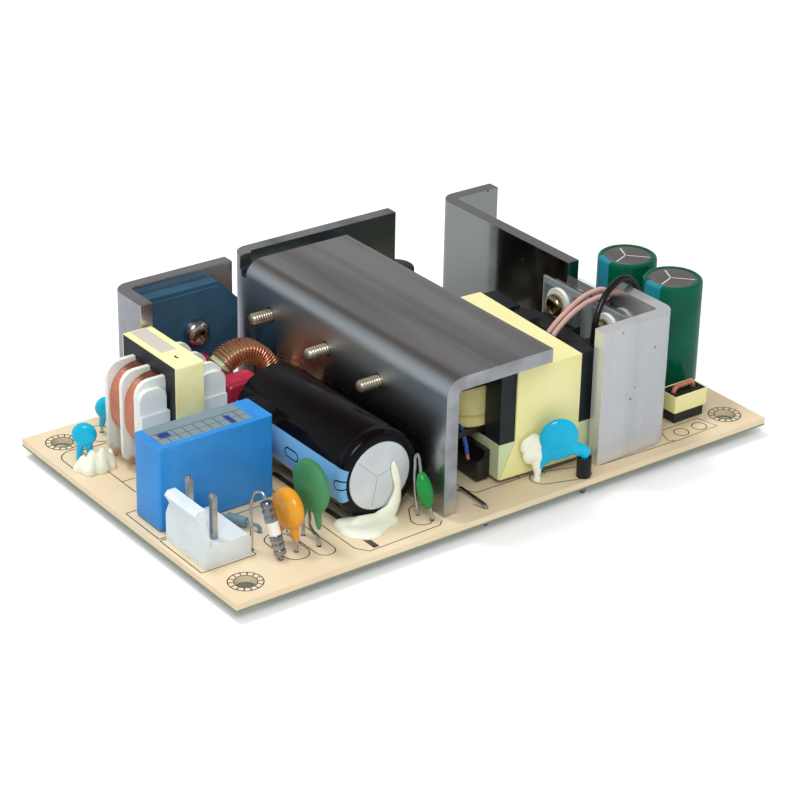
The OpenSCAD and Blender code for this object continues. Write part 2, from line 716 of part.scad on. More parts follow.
module choke_tape() {
    l = choke_core_l / 2;
    color("#e3d88e")
        at(choke_x - choke_core_w / 2, choke_y)
            rotate([90, 0, 90]) linear_extrude(choke_core_w)
                difference() {
                    polygon(round_rect(-l - tape_t, choke_z0 - tape_t, l + tape_t, choke_z0 + choke_h + tape_t, 0.5));
                    polygon([[-l, choke_z0], [l, choke_z0], [l, choke_z0 + choke_h], [-l, choke_z0 + choke_h]]);
                }
}

module choke_envelope(gap) {
    top = choke_z0 + choke_h;
    l = choke_core_l / 2 + gap;
    w = choke_core_w / 2 + gap;
    mid = (choke_z0 + top) / 2;
    for (z = [[choke_z0 - gap - 1, choke_z0 + choke_leg + gap], [mid - 1.8 - gap, mid + 1.8 + gap],
              [top - choke_leg - gap, top + 2]])
        translate([-w, -l, z[0]]) cube([2 * w, 2 * l, z[1] - z[0]]);
}

module choke_plate(y, t) {
    w = choke_flange_w / 2;
    translate([0, y + t / 2, 0]) rotate([90, 0, 0])
        linear_extrude(t) polygon(round_rect(-w, 0.35, w, choke_flange_h + 0.35, 3));
}

module choke_bobbin() {
    color("#eceeea") {
        at(choke_x, choke_y) difference() {
            union() {
                for (y = [-choke_section, 0, choke_section]) choke_plate(y, choke_plate_t);
                translate([-5, -choke_section, 7.5]) cube([10, 2 * choke_section, 9]);
                // end blocks beside the core, on the side of the connector
                for (s = [-1, 1])
                    translate([s * 6.6 - 2.9, -choke_section - 1.8, 0.35])
                        rotate([90, 0, 0]) mirror([0, 0, 1])
                            linear_extrude(1.6) polygon(round_rect(0, 0, 5.8, 18.4, 2));
                for (s = [-1, 1])
                    translate([s * 6.4 - 3.1, -choke_section - 2.3, 0.35]) cube([6.2, 2, 13.4]);
            }
            choke_envelope(0.06);
        }
    }
    color("#c9ccd0") for (p = choke_leads) lead(p, 1.3, lead_d + 0.1);
}

module choke_windings() {
    w = choke_flange_w / 2 - 0.3;
    top = choke_z0 + choke_h - choke_leg - 0.1;
    bottom = choke_z0 + choke_leg + 0.1;
    color("#b9683a")
        for (s = [-1, 1])
            at(choke_x, choke_y + s * choke_section / 2)
                rotate([90, 0, 0]) translate([0, 0, -(choke_section - 1.1) / 2])
                    linear_extrude(choke_section - 1.1)
                        difference() {
                            polygon(round_rect(-w, bottom, w, top, 6, 8));
                            polygon([[-5.05, 7.45], [5.05, 7.45], [5.05, 16.55], [-5.05, 16.55]]);
                        }
}

// ---- Toroid -----------------------------------------------------------------

module toroid_core() {
    color("#b9cda6")
        at(toroid_x, toroid_y + toroid_w, toroid_z) rotate([90, 0, 0])
            rotate_extrude($fn = 72)
                polygon(round_rect(ring_in, toroid_wire, ring_out, toroid_w - toroid_wire, 0.6, 3));
}

// The wire's path goes round the ring's section once for every turn. The turns are spread
// wider on one stretch, and both ends go down to the board at the back of the ring.
function spread(f) = (min(f, wide_from) + max(0, min(f, wide_to) - wide_from) * wide_by
                      + max(0, f - wide_to)) / (1 + (wide_to - wide_from) * (wide_by - 1));
function section_point(k) =
    let (g = toroid_wire / 2 + 0.02, c = 0.6,
         x0 = ring_in - g, x1 = ring_out + g, y0 = toroid_wire - g, y1 = toroid_w - toroid_wire + g)
    [[x1 - c, y0], [x0 + c, y0], [x0, y0 + c], [x0, y1 - c],
     [x0 + c, y1], [x1 - c, y1], [x1, y1 - c], [x1, y0 + c]][k];
function wound(i) =
    let (a = start_angle + (end_angle - start_angle) * spread(i / (toroid_turns * loop_steps)),
         p = section_point(i % loop_steps))
    [toroid_x + p.x * cos(a), toroid_y + toroid_w - p.y, toroid_z + p.x * sin(a)];

module toroid_winding() {
    a = toroid_leads[0];
    b = toroid_leads[1];
    color("#a4552d")
        at(0, 0) wire(concat([[a.x, a.y, -board_t], [a.x, a.y, 0.6]], [for (i = [0:last_step]) wound(i)],
                             [[b.x, b.y, 0.3], [b.x, b.y, -board_t]]), toroid_wire, 6);
}

// ---- Red line capacitors ----------------------------------------------------

module dipped_box(x, y, z, l, w, h, leads) {
    color("#b02a42") {
        at(x, y, z) rotate([90, 0, 0]) mirror([0, 0, 1])
            translate([0, 0, 0.5]) linear_extrude(w - 1) polygon(round_rect(0, 0, l, h, 1.2));
        at(x, y, z) rotate([90, 0, 0]) mirror([0, 0, 1])
            linear_extrude(w) polygon(round_rect(0.6, 0.6, l - 0.6, h - 0.6, 0.9));
    }
    color("#c9ccd0") for (p = leads) lead(p, z + 0.2);
}

module front_line_capacitor()
    dipped_box(front_line_x, front_line_y, 1.2, front_line_l, front_line_w, 12.9, front_line_leads);
module rear_line_capacitor() dipped_box(31, 64.2, 1.2, 6.4, 4, 11.2, rear_line_leads);

// ---- Transformer ------------------------------------------------------------

// Moves to the middle of the core's front face, turned as the transformer stands
module on_core() {
    at(core_mid_x, core_y) rotate([0, 0, -core_turn]) children();
}

module core_shape() {
    w = core_w / 2;
    yoke = 3.3;
    low = 6.9;
    mid_y = core_depth / 2;
    difference() {
        translate([-w, 0, core_z]) cube([core_w, core_depth, core_h]);
        for (y = [[core_leg, mid_y - core_mid_leg / 2], [mid_y + core_mid_leg / 2, core_depth - core_leg]])
            translate([-w - 1, y[0], core_z + low])
                cube([core_w + 2, y[1] - y[0], core_h - yoke - low]);
    }
}

module transformer_core() {
    color("#2c3338") on_core() core_shape();
}

// Bobbin: a tube round the middle leg with two flanges, and a pin rail on each side
module transformer_bobbin() {
    w = core_w / 2;
    y0 = core_leg + 0.2;
    y1 = core_depth - core_leg - 0.2;
    mid = core_depth / 2;
    hole_y = core_mid_leg / 2 + 0.1;
    color("#1d1f21") on_core() {
        difference() {
            union() {
                translate([-w - 1, mid - hole_y - 1, coil_z0 - 1]) cube([2 * w + 2, 2 * hole_y + 2, coil_z1 - coil_z0 + 1.6]);
                translate([coil_x0 - 0.4, y0, coil_z0 - 1]) cube([coil_x1 - coil_x0 + 0.8, y1 - y0, 0.9]);
                translate([coil_x0 - 0.4, y0, coil_z1 + 0.1]) cube([coil_x1 - coil_x0 + 0.8, y1 - y0, 0.7]);
                for (s = [0, 1]) mirror([s, 0, 0])
                    translate([w + tape_t + 0.15, 0, 0]) {
                        rotate([90, 0, 0]) mirror([0, 0, 1])
                            translate([0, 0, 2.4]) linear_extrude(core_depth - 6)
                                polygon([[0, 1.2], [0.5, 0.5], [rail_w, 0.5], [rail_w, rail_h], [1.5, rail_h + 0.4],
                                         [1.1, rail_h + 2], [0, rail_h + 2]]);
                        // webs that carry the rail from the flange, away from the front
                        for (y = [mid + 1, mid + 6]) translate([0, y, rail_h - 1]) cube([1.9, 2.4, coil_z0 - rail_h]);
                    }
            }
            translate([-w - 2, mid - hole_y, 0]) cube([2 * w + 4, 2 * hole_y, 40]);
            for (p = core_pins) translate([p.x, p.y, -1]) cylinder(d = lead_d + 0.06, h = 4, $fn = 16);
        }
    }
}

module transformer_pins() {
    color("#c9ccd0")
        for (p = core_pins) lead(turned(p), 2.4);
}

module transformer_winding() {
    inner = core_mid_leg / 2 + 1.15;
    mid = core_depth / 2;
    w = core_w / 2 + 1.05;
    color("#ddd27e") on_core()
        translate([0, 0, coil_z0 - 0.05]) linear_extrude(coil_z1 - coil_z0 + 0.1)
            difference() {
                polygon(round_rect(coil_x0, core_leg + 0.4, coil_x1, core_depth - core_leg - 0.4, 5, 6));
                polygon([[-w, mid - inner], [w, mid - inner], [w, mid + inner], [-w, mid + inner]]);
            }
}

// Tape over the top, front and back of the core; its foot flares where it folds
module transformer_band() {
    half = band_w / 2;
    w = core_w / 2;
    top = core_z + core_h;
    out = 2 * tape_t;
    color("#eae09a") on_core() {
        difference() {
            translate([-half, -out, core_z]) cube([band_w, core_depth + 2 * out, core_h + tape_t]);
            translate([-w - 1, 0, -1]) cube([core_w + 2, core_depth, top + 1]);
            translate([-w - 1, -tape_t - 0.01, -1]) cube([core_w + 2, core_depth + 2 * tape_t + 0.02, tape_top + 1]);
        }
        for (s = [0, 1]) translate([0, s * (core_depth + out), 0]) mirror([0, s, 0])
            rotate([90, 0, 0]) mirror([0, 0, 1]) translate([0, 0, -out])
                linear_extrude(tape_t)
                    polygon([[-half, tape_top + 0.5], [-half, tape_top], [-w, core_z], [half, core_z], [half, tape_top + 0.5]]);
    }
}

// Tape round the foot of the core
module transformer_tape() {
    w = core_w / 2;
    color("#d5dcae") on_core()
        translate([0, 0, core_z]) linear_extrude(tape_top - core_z - 0.02)
            difference() {
                polygon([[-w - tape_t, -tape_t], [w + tape_t, -tape_t], [w + tape_t, core_depth + tape_t],
                         [-w - tape_t, core_depth + tape_t]]);
                polygon([[-w, 0], [w, 0], [w, core_depth], [-w, core_depth]]);
            }
}

// ---- Output heatsink --------------------------------------------------------

module output_heatsink() {
    color("#a9aeb1")
    difference() {
        union() {
            at(out_x0, out_y0) cube([out_x1 - bend_r - out_x0, sheet_t, output_h]);
            at(out_x1 - bend_r, out_y0 + bend_r) sheet_bend(270, output_h);
            at(out_face, out_y0 + bend_r) cube([sheet_t, out_y1 - out_y0 - 2 * bend_r, output_h]);
            at(out_face + bend_r, out_y1 - bend_r) sheet_bend(90, output_h);
            at(out_face + bend_r, out_y1 - sheet_t) cube([out_flange_x - out_face - bend_r, sheet_t, output_h]);
            for (i = [5, 6, 7]) foot_tab(feet[i]);
        }
        at(out_face - 1, notch_y0, notch_z) cube([sheet_t + 2, notch_y1 - notch_y0, output_h]);
        for (y = rectifier_y)
            at(out_face - 1, y, rectifier_z)
                rotate([0, 90, 0]) cylinder(d = hole_tap_d, h = sheet_t + 2, $fn = 24);
    }
}

module output_rectifiers() {
    for (y = rectifier_y) {
        color("#26282b") at(out_face - pad_t, y) mirror([1, 0, 0]) tab_package(rectifier_z);
        color("#c9ccd0")
            for (i = [-1:1])
                lead([out_face - pad_t - 2.5, y + i * 2.54], rectifier_z - 13, lead_d);
    }
}

module output_pad() {
    y0 = out_y0 + bend_r + 0.6;
    color("#76838f")
        at(out_face - pad_t, y0)
            difference() {
                translate([0, 0, 5]) cube([pad_t, 40 - y0, 18.2]);
                for (y = rectifier_y)
                    translate([-1, y - y0, rectifier_z]) rotate([0, 90, 0]) cylinder(d = 3.6, h = 2, $fn = 24);
            }
}

// Shouldered white bushes that keep the screws off the tabs
module output_bushes() {
    color("#eceeea")
        for (y = rectifier_y)
            at(out_face - pad_t - 1.3, y, rectifier_z)
                rotate([0, -90, 0]) difference() {
                    union() {
                        cylinder(r = 3.3, h = 0.9, $fn = 32);
                        translate([0, 0, -1.2]) cylinder(d = 3.56, h = 1.3, $fn = 32);
                    }
                    translate([0, 0, -3]) cylinder(d = 3.02, h = 6, $fn = 32);
                }
}

module output_screws() {
    color("#b9975a")
        for (y = rectifier_y)
            at(out_face - pad_t - 2.2, y, rectifier_z)
                rotate([0, -90, 0]) pan_screw(2.4, 2, 2.2 + pad_t + sheet_t);
}

// ---- Leads from the transformer to the output -------------------------------

// Routes: out of the bobbin, up over the notch in the output wall, down to the board
pink_route = [[88.7, 20.8, 19.65], [88.8, 20.8, 20.6], [89.4, 20.9, 22], [90.8, 21, 24], [93, 21.4, 26],
              [96.6, 21.9, 27.3], [100.4, 22.3, 27.3], [103.8, 22.4, 26.6], [106, 22.4, 24.6],
              [107, 22.4, 21.6], [107.2, 22.4, 17], [107.2, 22.4, -1.6]];
black_route = [[92.95, 17, 13.5], [93.6, 17, 13.6], [94.1, 16.9, 14.4], [94.2, 16.6, 17], [94.2, 16.3, 21],
               [94.6, 16.2, 24], [95.8, 16.5, 26.6], [97.6, 17, 28.4], [100, 17.6, 29.6],
               [102.6, 18, 30.1], [105, 18, 29.2], [106.4, 17.8, 27], [106.9, 17.6, 23.6],
               [106.9, 17.6, 14], [106.9, 17.6, -1.6]];

function shifted(route, dy, dz) = [for (i = [0:len(route) - 1]) let (p = route[i])
    [p.x, p.y + dy, i == len(route) - 1 ? -board_t : p.z + dz]];

module secondary_leads() {
    color("#c08a92") {
        at(0, 0) wire(shifted(pink_route, 0, 0), thick_lead_d, 8);
        at(0, 0) wire(shifted(pink_route, 2.8, 0), thick_lead_d, 8);
    }
}

module black_lead() {
    color("#222426") at(0, 0) wire(shifted(black_route, 0, 0), thick_lead_d, 8);
}

// ---- Output capacitors and choke --------------------------------------------

module output_capacitors() {
    for (y = cap_y) {
        color("#8c8079")
            at(cap_x, y, 0.3) translate([0, 0, output_cap_h - 0.5]) mirror([0, 0, 1])
                rotate_extrude($fn = 56)
                    can_outline(output_cap_d / 2 - sleeve_t - 0.03, output_cap_h - 0.5, output_cap_d / 2 - 1.5);
    }
    color("#c9ccd0") for (p = cap_leads) lead(p, 0.6);
}

module output_sleeves() {
    r = output_cap_d / 2;
    h = output_cap_h;
    color("#0a6a4c")
        for (y = cap_y)
            at(cap_x, y)
                rotate_extrude($fn = 56)
                    polygon(concat([[r - 1.2, 0], [r - 0.3, 0], [r, 0.3]], arc([r - 1.1, h - 1.1], 1.1, 0, 90, 5),
                                   [[r - 1.6, h], [r - 1.6, h - 0.15]],
                                   arc([r - sleeve_t - 1, h - 1.2], 1, 90, 0, 5),
                                   [[r - sleeve_t, 0.28], [r - 1.2, 0.28]]));
}

module output_choke_core() {
    color("#1b1c1e")
        at(out_choke.x, out_choke.y) difference() {
            union() {
                translate([0.3, 0.5, 0.25]) cube([out_choke_l - 0.6, out_choke_w - 1, 2.4]);
                translate([0, 0.25, 2.6]) cube([out_choke_l, out_choke_w - 0.5, out_choke_h - 2.9]);
            }
            for (s = [-1, 1])
                translate([out_choke_l / 2 + s * 2.6, out_choke_w / 2, -1])
                    cylinder(d = 2 * lead_d, h = 12, $fn = 20);
        }
}

module output_choke_band() {
    color("#e3d878")
        at(out_choke.x, out_choke.y, 2.6) linear_extrude(3.6)
            difference() {
                polygon(round_rect(-tape_t, 0.24 - tape_t, out_choke_l + tape_t, out_choke_w - 0.24 + tape_t, 0.3, 2));
                polygon([[0, 0.25], [out_choke_l, 0.25], [out_choke_l, out_choke_w - 0.25], [0, out_choke_w - 0.25]]);
            }
}

module output_choke_winding() {
    z = out_choke_h;
    a = out_choke_leads[0];
    b = out_choke_leads[1];
    color("#b9683a")
        at(0, 0) wire([[a.x, a.y, -board_t], [a.x, a.y, z - 0.4], [a.x + 0.3, a.y, z + 0.3], [a.x + 1, a.y, z + 0.7],
                       [b.x - 1, b.y, z + 0.7], [b.x - 0.3, b.y, z + 0.3], [b.x, b.y, z - 0.4],
                       [b.x, b.y, -board_t]], thick_lead_d);
}

// ---- Output header ----------------------------------------------------------

module output_header() {
    l = output_pin_count * out_pitch;
    color("#dbe4e6")
    difference() {
        union() {
            at(out_header_x, out_header_y) cube([7.6, l, 3.2]);
            at(out_header_x + 6.3, out_header_y) cube([1.3, l, 10.4]);
        }
        for (p = header_pins)
            at(p.x - post_w / 2 - 0.03, p.y - post_w / 2 - 0.03, -1) cube([post_w + 0.06, post_w + 0.06, 6]);
    }
}

module output_pins() {
    color("#b8b5a8") for (p = header_pins) square_post(p, 10.8);
}

// ---- Small parts ------------------------------------------------------------

module jumper_wire() {
    a = jumper_leads[0];
    b = jumper_leads[1];
    color("#c9ccd0")
        at(0, 0) wire([[a.x, a.y, -board_t], [a.x, a.y, 0.3], [a.x, a.y - 0.4, 0.55], [b.x, b.y + 0.4, 0.55],
                       [b.x, b.y, 0.3], [b.x, b.y, -board_t]], lead_d);
}

// The bead stands in front of the bulk capacitor; one of its wires loops back over its top
module bead_capacitor() {
    top = [45.7, -2.9, 9.1];
    low = [46.1, -5, 2.2];
    l = norm(top - low);
    color("#1e7b3c") at(0, bulk_y0) along(low, top)
        rotate_extrude($fn = 32)
            polygon(concat([[0, 0], [0.5, 0]],
                           [for (i = [0:8]) let (f = i / 8) [0.6 + pow(sin(180 * (0.08 + 0.84 * f)), 0.7),
                                                            l * (0.1 + 0.86 * f)]],
                           [[0.45, l], [0, l]]));
    color("#c9ccd0") {
        at(0, bulk_y0)
            wire([top - [0, 0, 0.5], [45.6, -2.7, 10.2], [45.5, -2.3, 11.3], [45.45, -1.8, 11.7], [45.4, -1.2, 11.3],
                  [45.4, -0.8, 10.2], [45.4, -0.8, 3], [45.4, -1.5, 1], [bead_leads[0].x, -2.7, 0.5],
                  [bead_leads[0].x, -2.7, -board_t]], lead_d * 0.9);
        lead(bead_leads[1], 2.6);
    }
}

// Adhesive that holds parts to the board: a few round blobs run together, cut flat below
module blobs(list) {
    difference() {
        union() for (b = list) translate([b[0], b[1], b[2]]) sphere(r = b[3], $fn = 28);
        translate([-60, -60, -20]) cube([120, 120, 20]);
    }
}

module adhesive() {
    color("#e8e9d8") {
        difference() {
            at(left_disc_at.x, left_disc_at.y) blobs([[-1.6, -2.6, 0.3, 1.7], [0.9, -3.2, 1.1, 2.1], [2.3, -3.4, 3, 1.8],
                                                      [2.9, -2.2, 0.9, 1.9]]);
            for (p = left_disc_leads) at(p.x, p.y) translate([0, 0, -1]) cylinder(r = 1.2, h = 9, $fn = 24);
        }
        difference() {
            at(bulk_x, bulk_y0) blobs([[-5.4, -1.3, -0.6, 2.9], [-2.4, -2, -0.5, 2.6], [1, -1.8, -0.3, 2.2],
                                       [-4.8, -4, -0.8, 2.3]]);
            at(bulk_x, bulk_y0 - 0.02, bulk_d / 2 + 0.05) rotate([-90, 0, 0]) cylinder(d = bulk_d, h = 20, $fn = 64);
        }
        on_core() difference() {
            blobs([[-5.4, -2, 3.2, 1.7], [-5.6, -2.1, 5.4, 1.9], [-5.5, -2, 7.9, 1.7]]);
            translate([-10, -2 * tape_t - 0.02, 0]) cube([10, 10, 12]);
        }
    }
}

module auxiliary_capacitor() {
    color("#1d2023")
        at(small_can.x, small_can.y) cylinder(d = 8, h = small_can.z, $fn = 40);
    color("#c9ccd0") for (p = can_leads) lead(p, 0.3);
}

module dual_package(p, pins, leads) {
    l = pins * 2.54;
    color("#222528")
        at(p.x - 3.2, p.y - l / 2, 0.5) cube([6.4, l, 3.3]);
    color("#c9ccd0")
        for (q = leads) {
            s = sign(p.x - q.x);
            at(0, 0) wire([[q.x, q.y, -board_t], [q.x, q.y, 1.7], [q.x + s * 0.12, q.y, 2], [q.x + s * 0.9, q.y, 2.1]], lead_d * 0.8, 4);
        }
}

module optocoupler() dual_package(opto_at, 2, opto_leads);
module control_chip() dual_package(chip_at, 4, chip_leads);

circuit_board();
solder_joints();
rectifier_heatsink();
bridge_rectifier();
rectifier_screw();
main_heatsink();
transistors();
transistor_pads();
transistor_screws();
bulk_capacitor();
bulk_sleeve();
film_capacitor();
input_header();
input_pins();
fuse_body();
fuse_caps();
varistor();
thermistor();
discharge_resistor();
front_disc_capacitor();
left_disc_capacitor();
corner_disc_capacitor();
lead_sleeve();
choke_core();
choke_tape();
choke_bobbin();
choke_windings();
toroid_core();
toroid_winding();
front_line_capacitor();
rear_line_capacitor();
transformer_core();
transformer_bobbin();
transformer_pins();
transformer_winding();
transformer_band();
transformer_tape();
output_heatsink();
output_rectifiers();
output_pad();
output_bushes();
output_screws();
secondary_leads();
black_lead();
output_capacitors();
output_sleeves();
output_choke_core();
output_choke_band();
output_choke_winding();
output_header();
output_pins();
jumper_wire();
bead_capacitor();
adhesive();
auxiliary_capacitor();
optocoupler();
control_chip();
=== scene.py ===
"""Open frame power supply: the looks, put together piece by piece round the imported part."""

import math

import bmesh
import bpy
from mathutils import Matrix, Vector


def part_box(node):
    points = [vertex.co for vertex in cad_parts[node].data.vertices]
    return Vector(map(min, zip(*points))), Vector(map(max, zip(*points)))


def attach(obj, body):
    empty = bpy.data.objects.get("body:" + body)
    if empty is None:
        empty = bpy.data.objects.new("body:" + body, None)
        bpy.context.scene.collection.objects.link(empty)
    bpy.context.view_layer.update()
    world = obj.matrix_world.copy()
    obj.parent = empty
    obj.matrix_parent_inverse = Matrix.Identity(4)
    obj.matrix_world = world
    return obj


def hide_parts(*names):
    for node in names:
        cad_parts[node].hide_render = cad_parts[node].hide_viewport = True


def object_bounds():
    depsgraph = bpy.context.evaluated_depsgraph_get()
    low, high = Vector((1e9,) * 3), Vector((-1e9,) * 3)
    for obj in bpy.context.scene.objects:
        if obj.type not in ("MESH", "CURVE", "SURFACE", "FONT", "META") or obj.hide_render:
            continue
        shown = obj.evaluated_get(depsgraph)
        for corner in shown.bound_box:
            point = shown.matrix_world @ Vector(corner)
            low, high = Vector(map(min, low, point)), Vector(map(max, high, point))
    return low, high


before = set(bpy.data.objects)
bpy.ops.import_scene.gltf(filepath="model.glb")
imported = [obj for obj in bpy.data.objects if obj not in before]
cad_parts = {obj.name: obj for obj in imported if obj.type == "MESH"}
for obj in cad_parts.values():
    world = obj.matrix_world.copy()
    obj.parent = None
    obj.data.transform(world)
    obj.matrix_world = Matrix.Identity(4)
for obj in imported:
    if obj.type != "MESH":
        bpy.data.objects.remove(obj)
cad_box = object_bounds()

# ---- Circuit board ----------------------------------------------------------------
# A punched sheet of tan paper laminate, 1.6 mm thick, with green resist on the copper
# side underneath. Every part stands in it on soldered legs.
mm = 0.001
underside = -1.6
board_low, board_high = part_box("circuit_board")


def at(x, y, z=0.0):
    """A place in millimetres from the board's front left corner, on its top face."""
    return Vector((board_low.x + x * mm, board_low.y + y * mm, board_high.z + z * mm))


def rgb(red, green, blue):
    """A colour written 0 to 255, as the linear values that a shader takes."""
    linear = [
        c / 255 / 12.92 if c < 11 else ((c / 255 + 0.055) / 1.055) ** 2.4
        for c in (red, green, blue)
    ]
    return (*linear, 1.0)


def feed(tree, socket, value):
    """Gives a socket a plain value, or links another node's output to it."""
    if isinstance(value, bpy.types.NodeSocket):
        tree.links.new(value, socket)
    else:
        socket.default_value = value


def shader_node(tree, kind, sockets=None, **settings):
    """A new shader node with its settings and sockets filled in."""
    made = tree.nodes.new("ShaderNode" + kind)
    for name, value in settings.items():
        setattr(made, name, value)
    for name, value in (sockets or {}).items():
        feed(tree, made.inputs[name], value)
    return made


def maths(tree, operation, *values):
    """One step of arithmetic between values or sockets."""
    return shader_node(
        tree, "Math", dict(enumerate(values)), operation=operation
    ).outputs[0]


def times(tree, *values):
    """Values and masks multiplied together."""
    product, *others = values
    for value in others:
        product = maths(tree, "MULTIPLY", product, value)
    return product


def eased_step(tree, value, low, high):
    """A mask that goes from 0 to 1 as the value goes from low to high."""
    made = shader_node(
        tree, "MapRange", {"Value": value, "From Min": low, "From Max": high}
    )
    return made.outputs["Result"]


def mixed(tree, share, first, second):
    """One colour turning into another by a share."""
    sockets = {0: share, 6: first, 7: second}
    return shader_node(tree, "Mix", sockets, data_type="RGBA").outputs[2]


def mixed_value(tree, share, first, second):
    """One number turning into another by a share."""
    sockets = {0: share, 2: first, 3: second}
    return shader_node(tree, "Mix", sockets, data_type="FLOAT").outputs[0]


def own_place(tree):
    """Where a point lies on its piece, which patterns are drawn by."""
    return shader_node(tree, "TexCoord").outputs["Object"]


def noise(tree, scale, detail=2.0, place=None):
    """A cloudy pattern. A scale of three numbers draws it out more one way than another."""
    place = place or own_place(tree)
    if isinstance(scale, tuple):
        stretched = shader_node(tree, "Mapping", {"Vector": place, "Scale": scale})
        place, scale = stretched.outputs["Vector"], 1.0
    sockets = {"Vector": place, "Scale": scale, "Detail": detail}
    return shader_node(tree, "TexNoise", sockets).outputs["Fac"]


def node_group(name, inputs, outputs):
    """A shader node group with named sockets: its tree, what it is given, its results."""
    tree = bpy.data.node_groups.new(name, "ShaderNodeTree")
    for way, sockets in (("INPUT", inputs), ("OUTPUT", outputs)):
        for socket, kind in sockets.items():
            tree.interface.new_socket(
                socket, in_out=way, socket_type="NodeSocket" + kind
            )
    given = tree.nodes.new("NodeGroupInput").outputs
    return tree, given, tree.nodes.new("NodeGroupOutput").inputs


def build_patina():
    """The uneven colour and gloss, and the fine grain, that most surfaces have."""
    shades = {"Colour": "Color", "Second Colour": "Color"}
    amounts = {
        "Patches": "Float", "Grain": "Float", "Dullness": "Float", "Spread": "Float"
    }
    tree, given, result = node_group(
        "patina", {**shades, **amounts},
        {"Colour": "Color", "Roughness": "Float", "Height": "Float"},
    )
    broad = noise(tree, given["Patches"], 4.0)
    fine = noise(tree, given["Grain"], 3.0)
    share = eased_step(tree, broad, 0.36, 0.66)
    shade = mixed(tree, share, given["Colour"], given["Second Colour"])
    feed(tree, result["Colour"], shade)
    swing = times(tree, maths(tree, "SUBTRACT", broad, 0.5), given["Spread"])
    swing = maths(tree, "MULTIPLY_ADD", maths(tree, "SUBTRACT", fine, 0.5), 0.08, swing)
    feed(tree, result["Roughness"], maths(tree, "ADD", given["Dullness"], swing))
    feed(tree, result["Height"], fine)
    return tree


patina = build_patina()


def bare_tree(owner):
    """The emptied shader tree of a material or of the world."""
    owner.use_nodes = True
    owner.node_tree.nodes.clear()
    return owner.node_tree


def finish(name, first, second, dullness, relief=0.004, **more):
    """A surface in two shades, with uneven gloss and a grain whose relief is in mm. What
    more is given goes to the sockets of the shader itself."""
    material = bpy.data.materials.new(name)
    tree = bare_tree(material)
    amounts = {
        "Colour": first,
        "Second Colour": second,
        "Patches": more.pop("patches", 160.0),
        "Grain": more.pop("grain", 2200.0),
        "Dullness": dullness,
        "Spread": more.pop("spread", 0.3),
    }
    skin = shader_node(tree, "Group", amounts, node_tree=patina, name="skin").outputs
    relief_sockets = {
        "Height": skin["Height"], "Strength": 1.0, "Distance": relief * mm
    }
    bump = shader_node(tree, "Bump", relief_sockets, name="grain")
    surface = {
        "Base Color": skin["Colour"],
        "Roughness": skin["Roughness"],
        "Normal": bump.outputs["Normal"],
    }
    for word, value in more.items():
        surface[word.replace("_", " ").title().replace("Ior", "IOR")] = value
    shader = shader_node(tree, "BsdfPrincipled", surface, name="shader")
    shader_node(tree, "OutputMaterial", {"Surface": shader.outputs["BSDF"]})
    return material


def marked(material, name):
    """A copy of a finish under a name of its own, to be marked in its own way."""
    copied = material.copy()
    copied.name = name
    return copied


def tint(material, share, shade, dullness=None):
    """Lays another shade, and its gloss, over a finish where the share says."""
    tree = material.node_tree
    shader = tree.nodes["shader"]
    under = shader.inputs["Base Color"].links[0].from_socket
    feed(tree, shader.inputs["Base Color"], mixed(tree, share, under, shade))
    if dullness is not None:
        under = shader.inputs["Roughness"].links[0].from_socket
        feed(
            tree, shader.inputs["Roughness"], mixed_value(tree, share, under, dullness)
        )


def raise_surface(material, height, relief):
    """Adds relief in mm to a finish, on top of its grain."""
    tree = material.node_tree
    bump = shader_node(
        tree, "Bump", {"Height": height, "Strength": 1.0, "Distance": relief * mm}
    )
    tree.links.new(tree.nodes["grain"].outputs["Normal"], bump.inputs["Normal"])
    tree.links.new(bump.outputs["Normal"], tree.nodes["shader"].inputs["Normal"])


def measured(tree, axes):
    """Where a point of the surface is along each axis named, in board millimetres."""
    parts = shader_node(tree, "SeparateXYZ", {"Vector": own_place(tree)}).outputs
    corner = at(0, 0, 0)
    return [
        times(tree, maths(tree, "SUBTRACT", parts[i], corner[i]), 1000.0)
        for i in ("xyz".index(axis) for axis in axes)
    ]


def facing(tree):
    """Which way the surface faces: the x, y and z of its normal."""
    normal = shader_node(tree, "NewGeometry").outputs["Normal"]
    return shader_node(tree, "SeparateXYZ", {"Vector": normal}).outputs


laminate = finish(
    "laminate", rgb(234, 215, 182), rgb(225, 204, 168), 0.42, relief=0.006,
    patches=60.0, grain=900.0,
)
tree = laminate.node_tree
[z] = measured(tree, "z")
fibre = noise(tree, (1500.0, 1900.0, 900.0))
tint(laminate, eased_step(tree, fibre, 0.66, 0.84), rgb(222, 200, 162))
tint(laminate, eased_step(tree, z, -1.12, -1.3), rgb(128, 138, 112), 0.5)
tracks = shader_node(
    tree, "TexVoronoi", {"Vector": own_place(tree), "Scale": 95.0},
    feature="DISTANCE_TO_EDGE", distance="EUCLIDEAN",
).outputs["Distance"]
below = eased_step(tree, facing(tree)["Z"], -0.4, -0.6)
tint(laminate, below, rgb(52, 92, 48), 0.25)
copper_area = times(tree, below, eased_step(tree, tracks, 0.05, 0.08))
tint(laminate, copper_area, rgb(84, 128, 62), 0.3)
raise_surface(laminate, copper_area, 0.05)


def dress(node, material):
    """Gives a node of the part its finish, on the shape it has."""
    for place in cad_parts[node].material_slots:
        place.material = material


dress("circuit_board", laminate)

# ---- Printed marks ----------------------------------------------------------------
# Thin lines of dark ink screened on the laminate: the outline of each part, rings round
# the fixing holes and two heavy bars. The ink stands 0.02 mm proud.
ink = finish("ink", rgb(78, 72, 60), rgb(56, 52, 44), 0.5, patches=700.0)


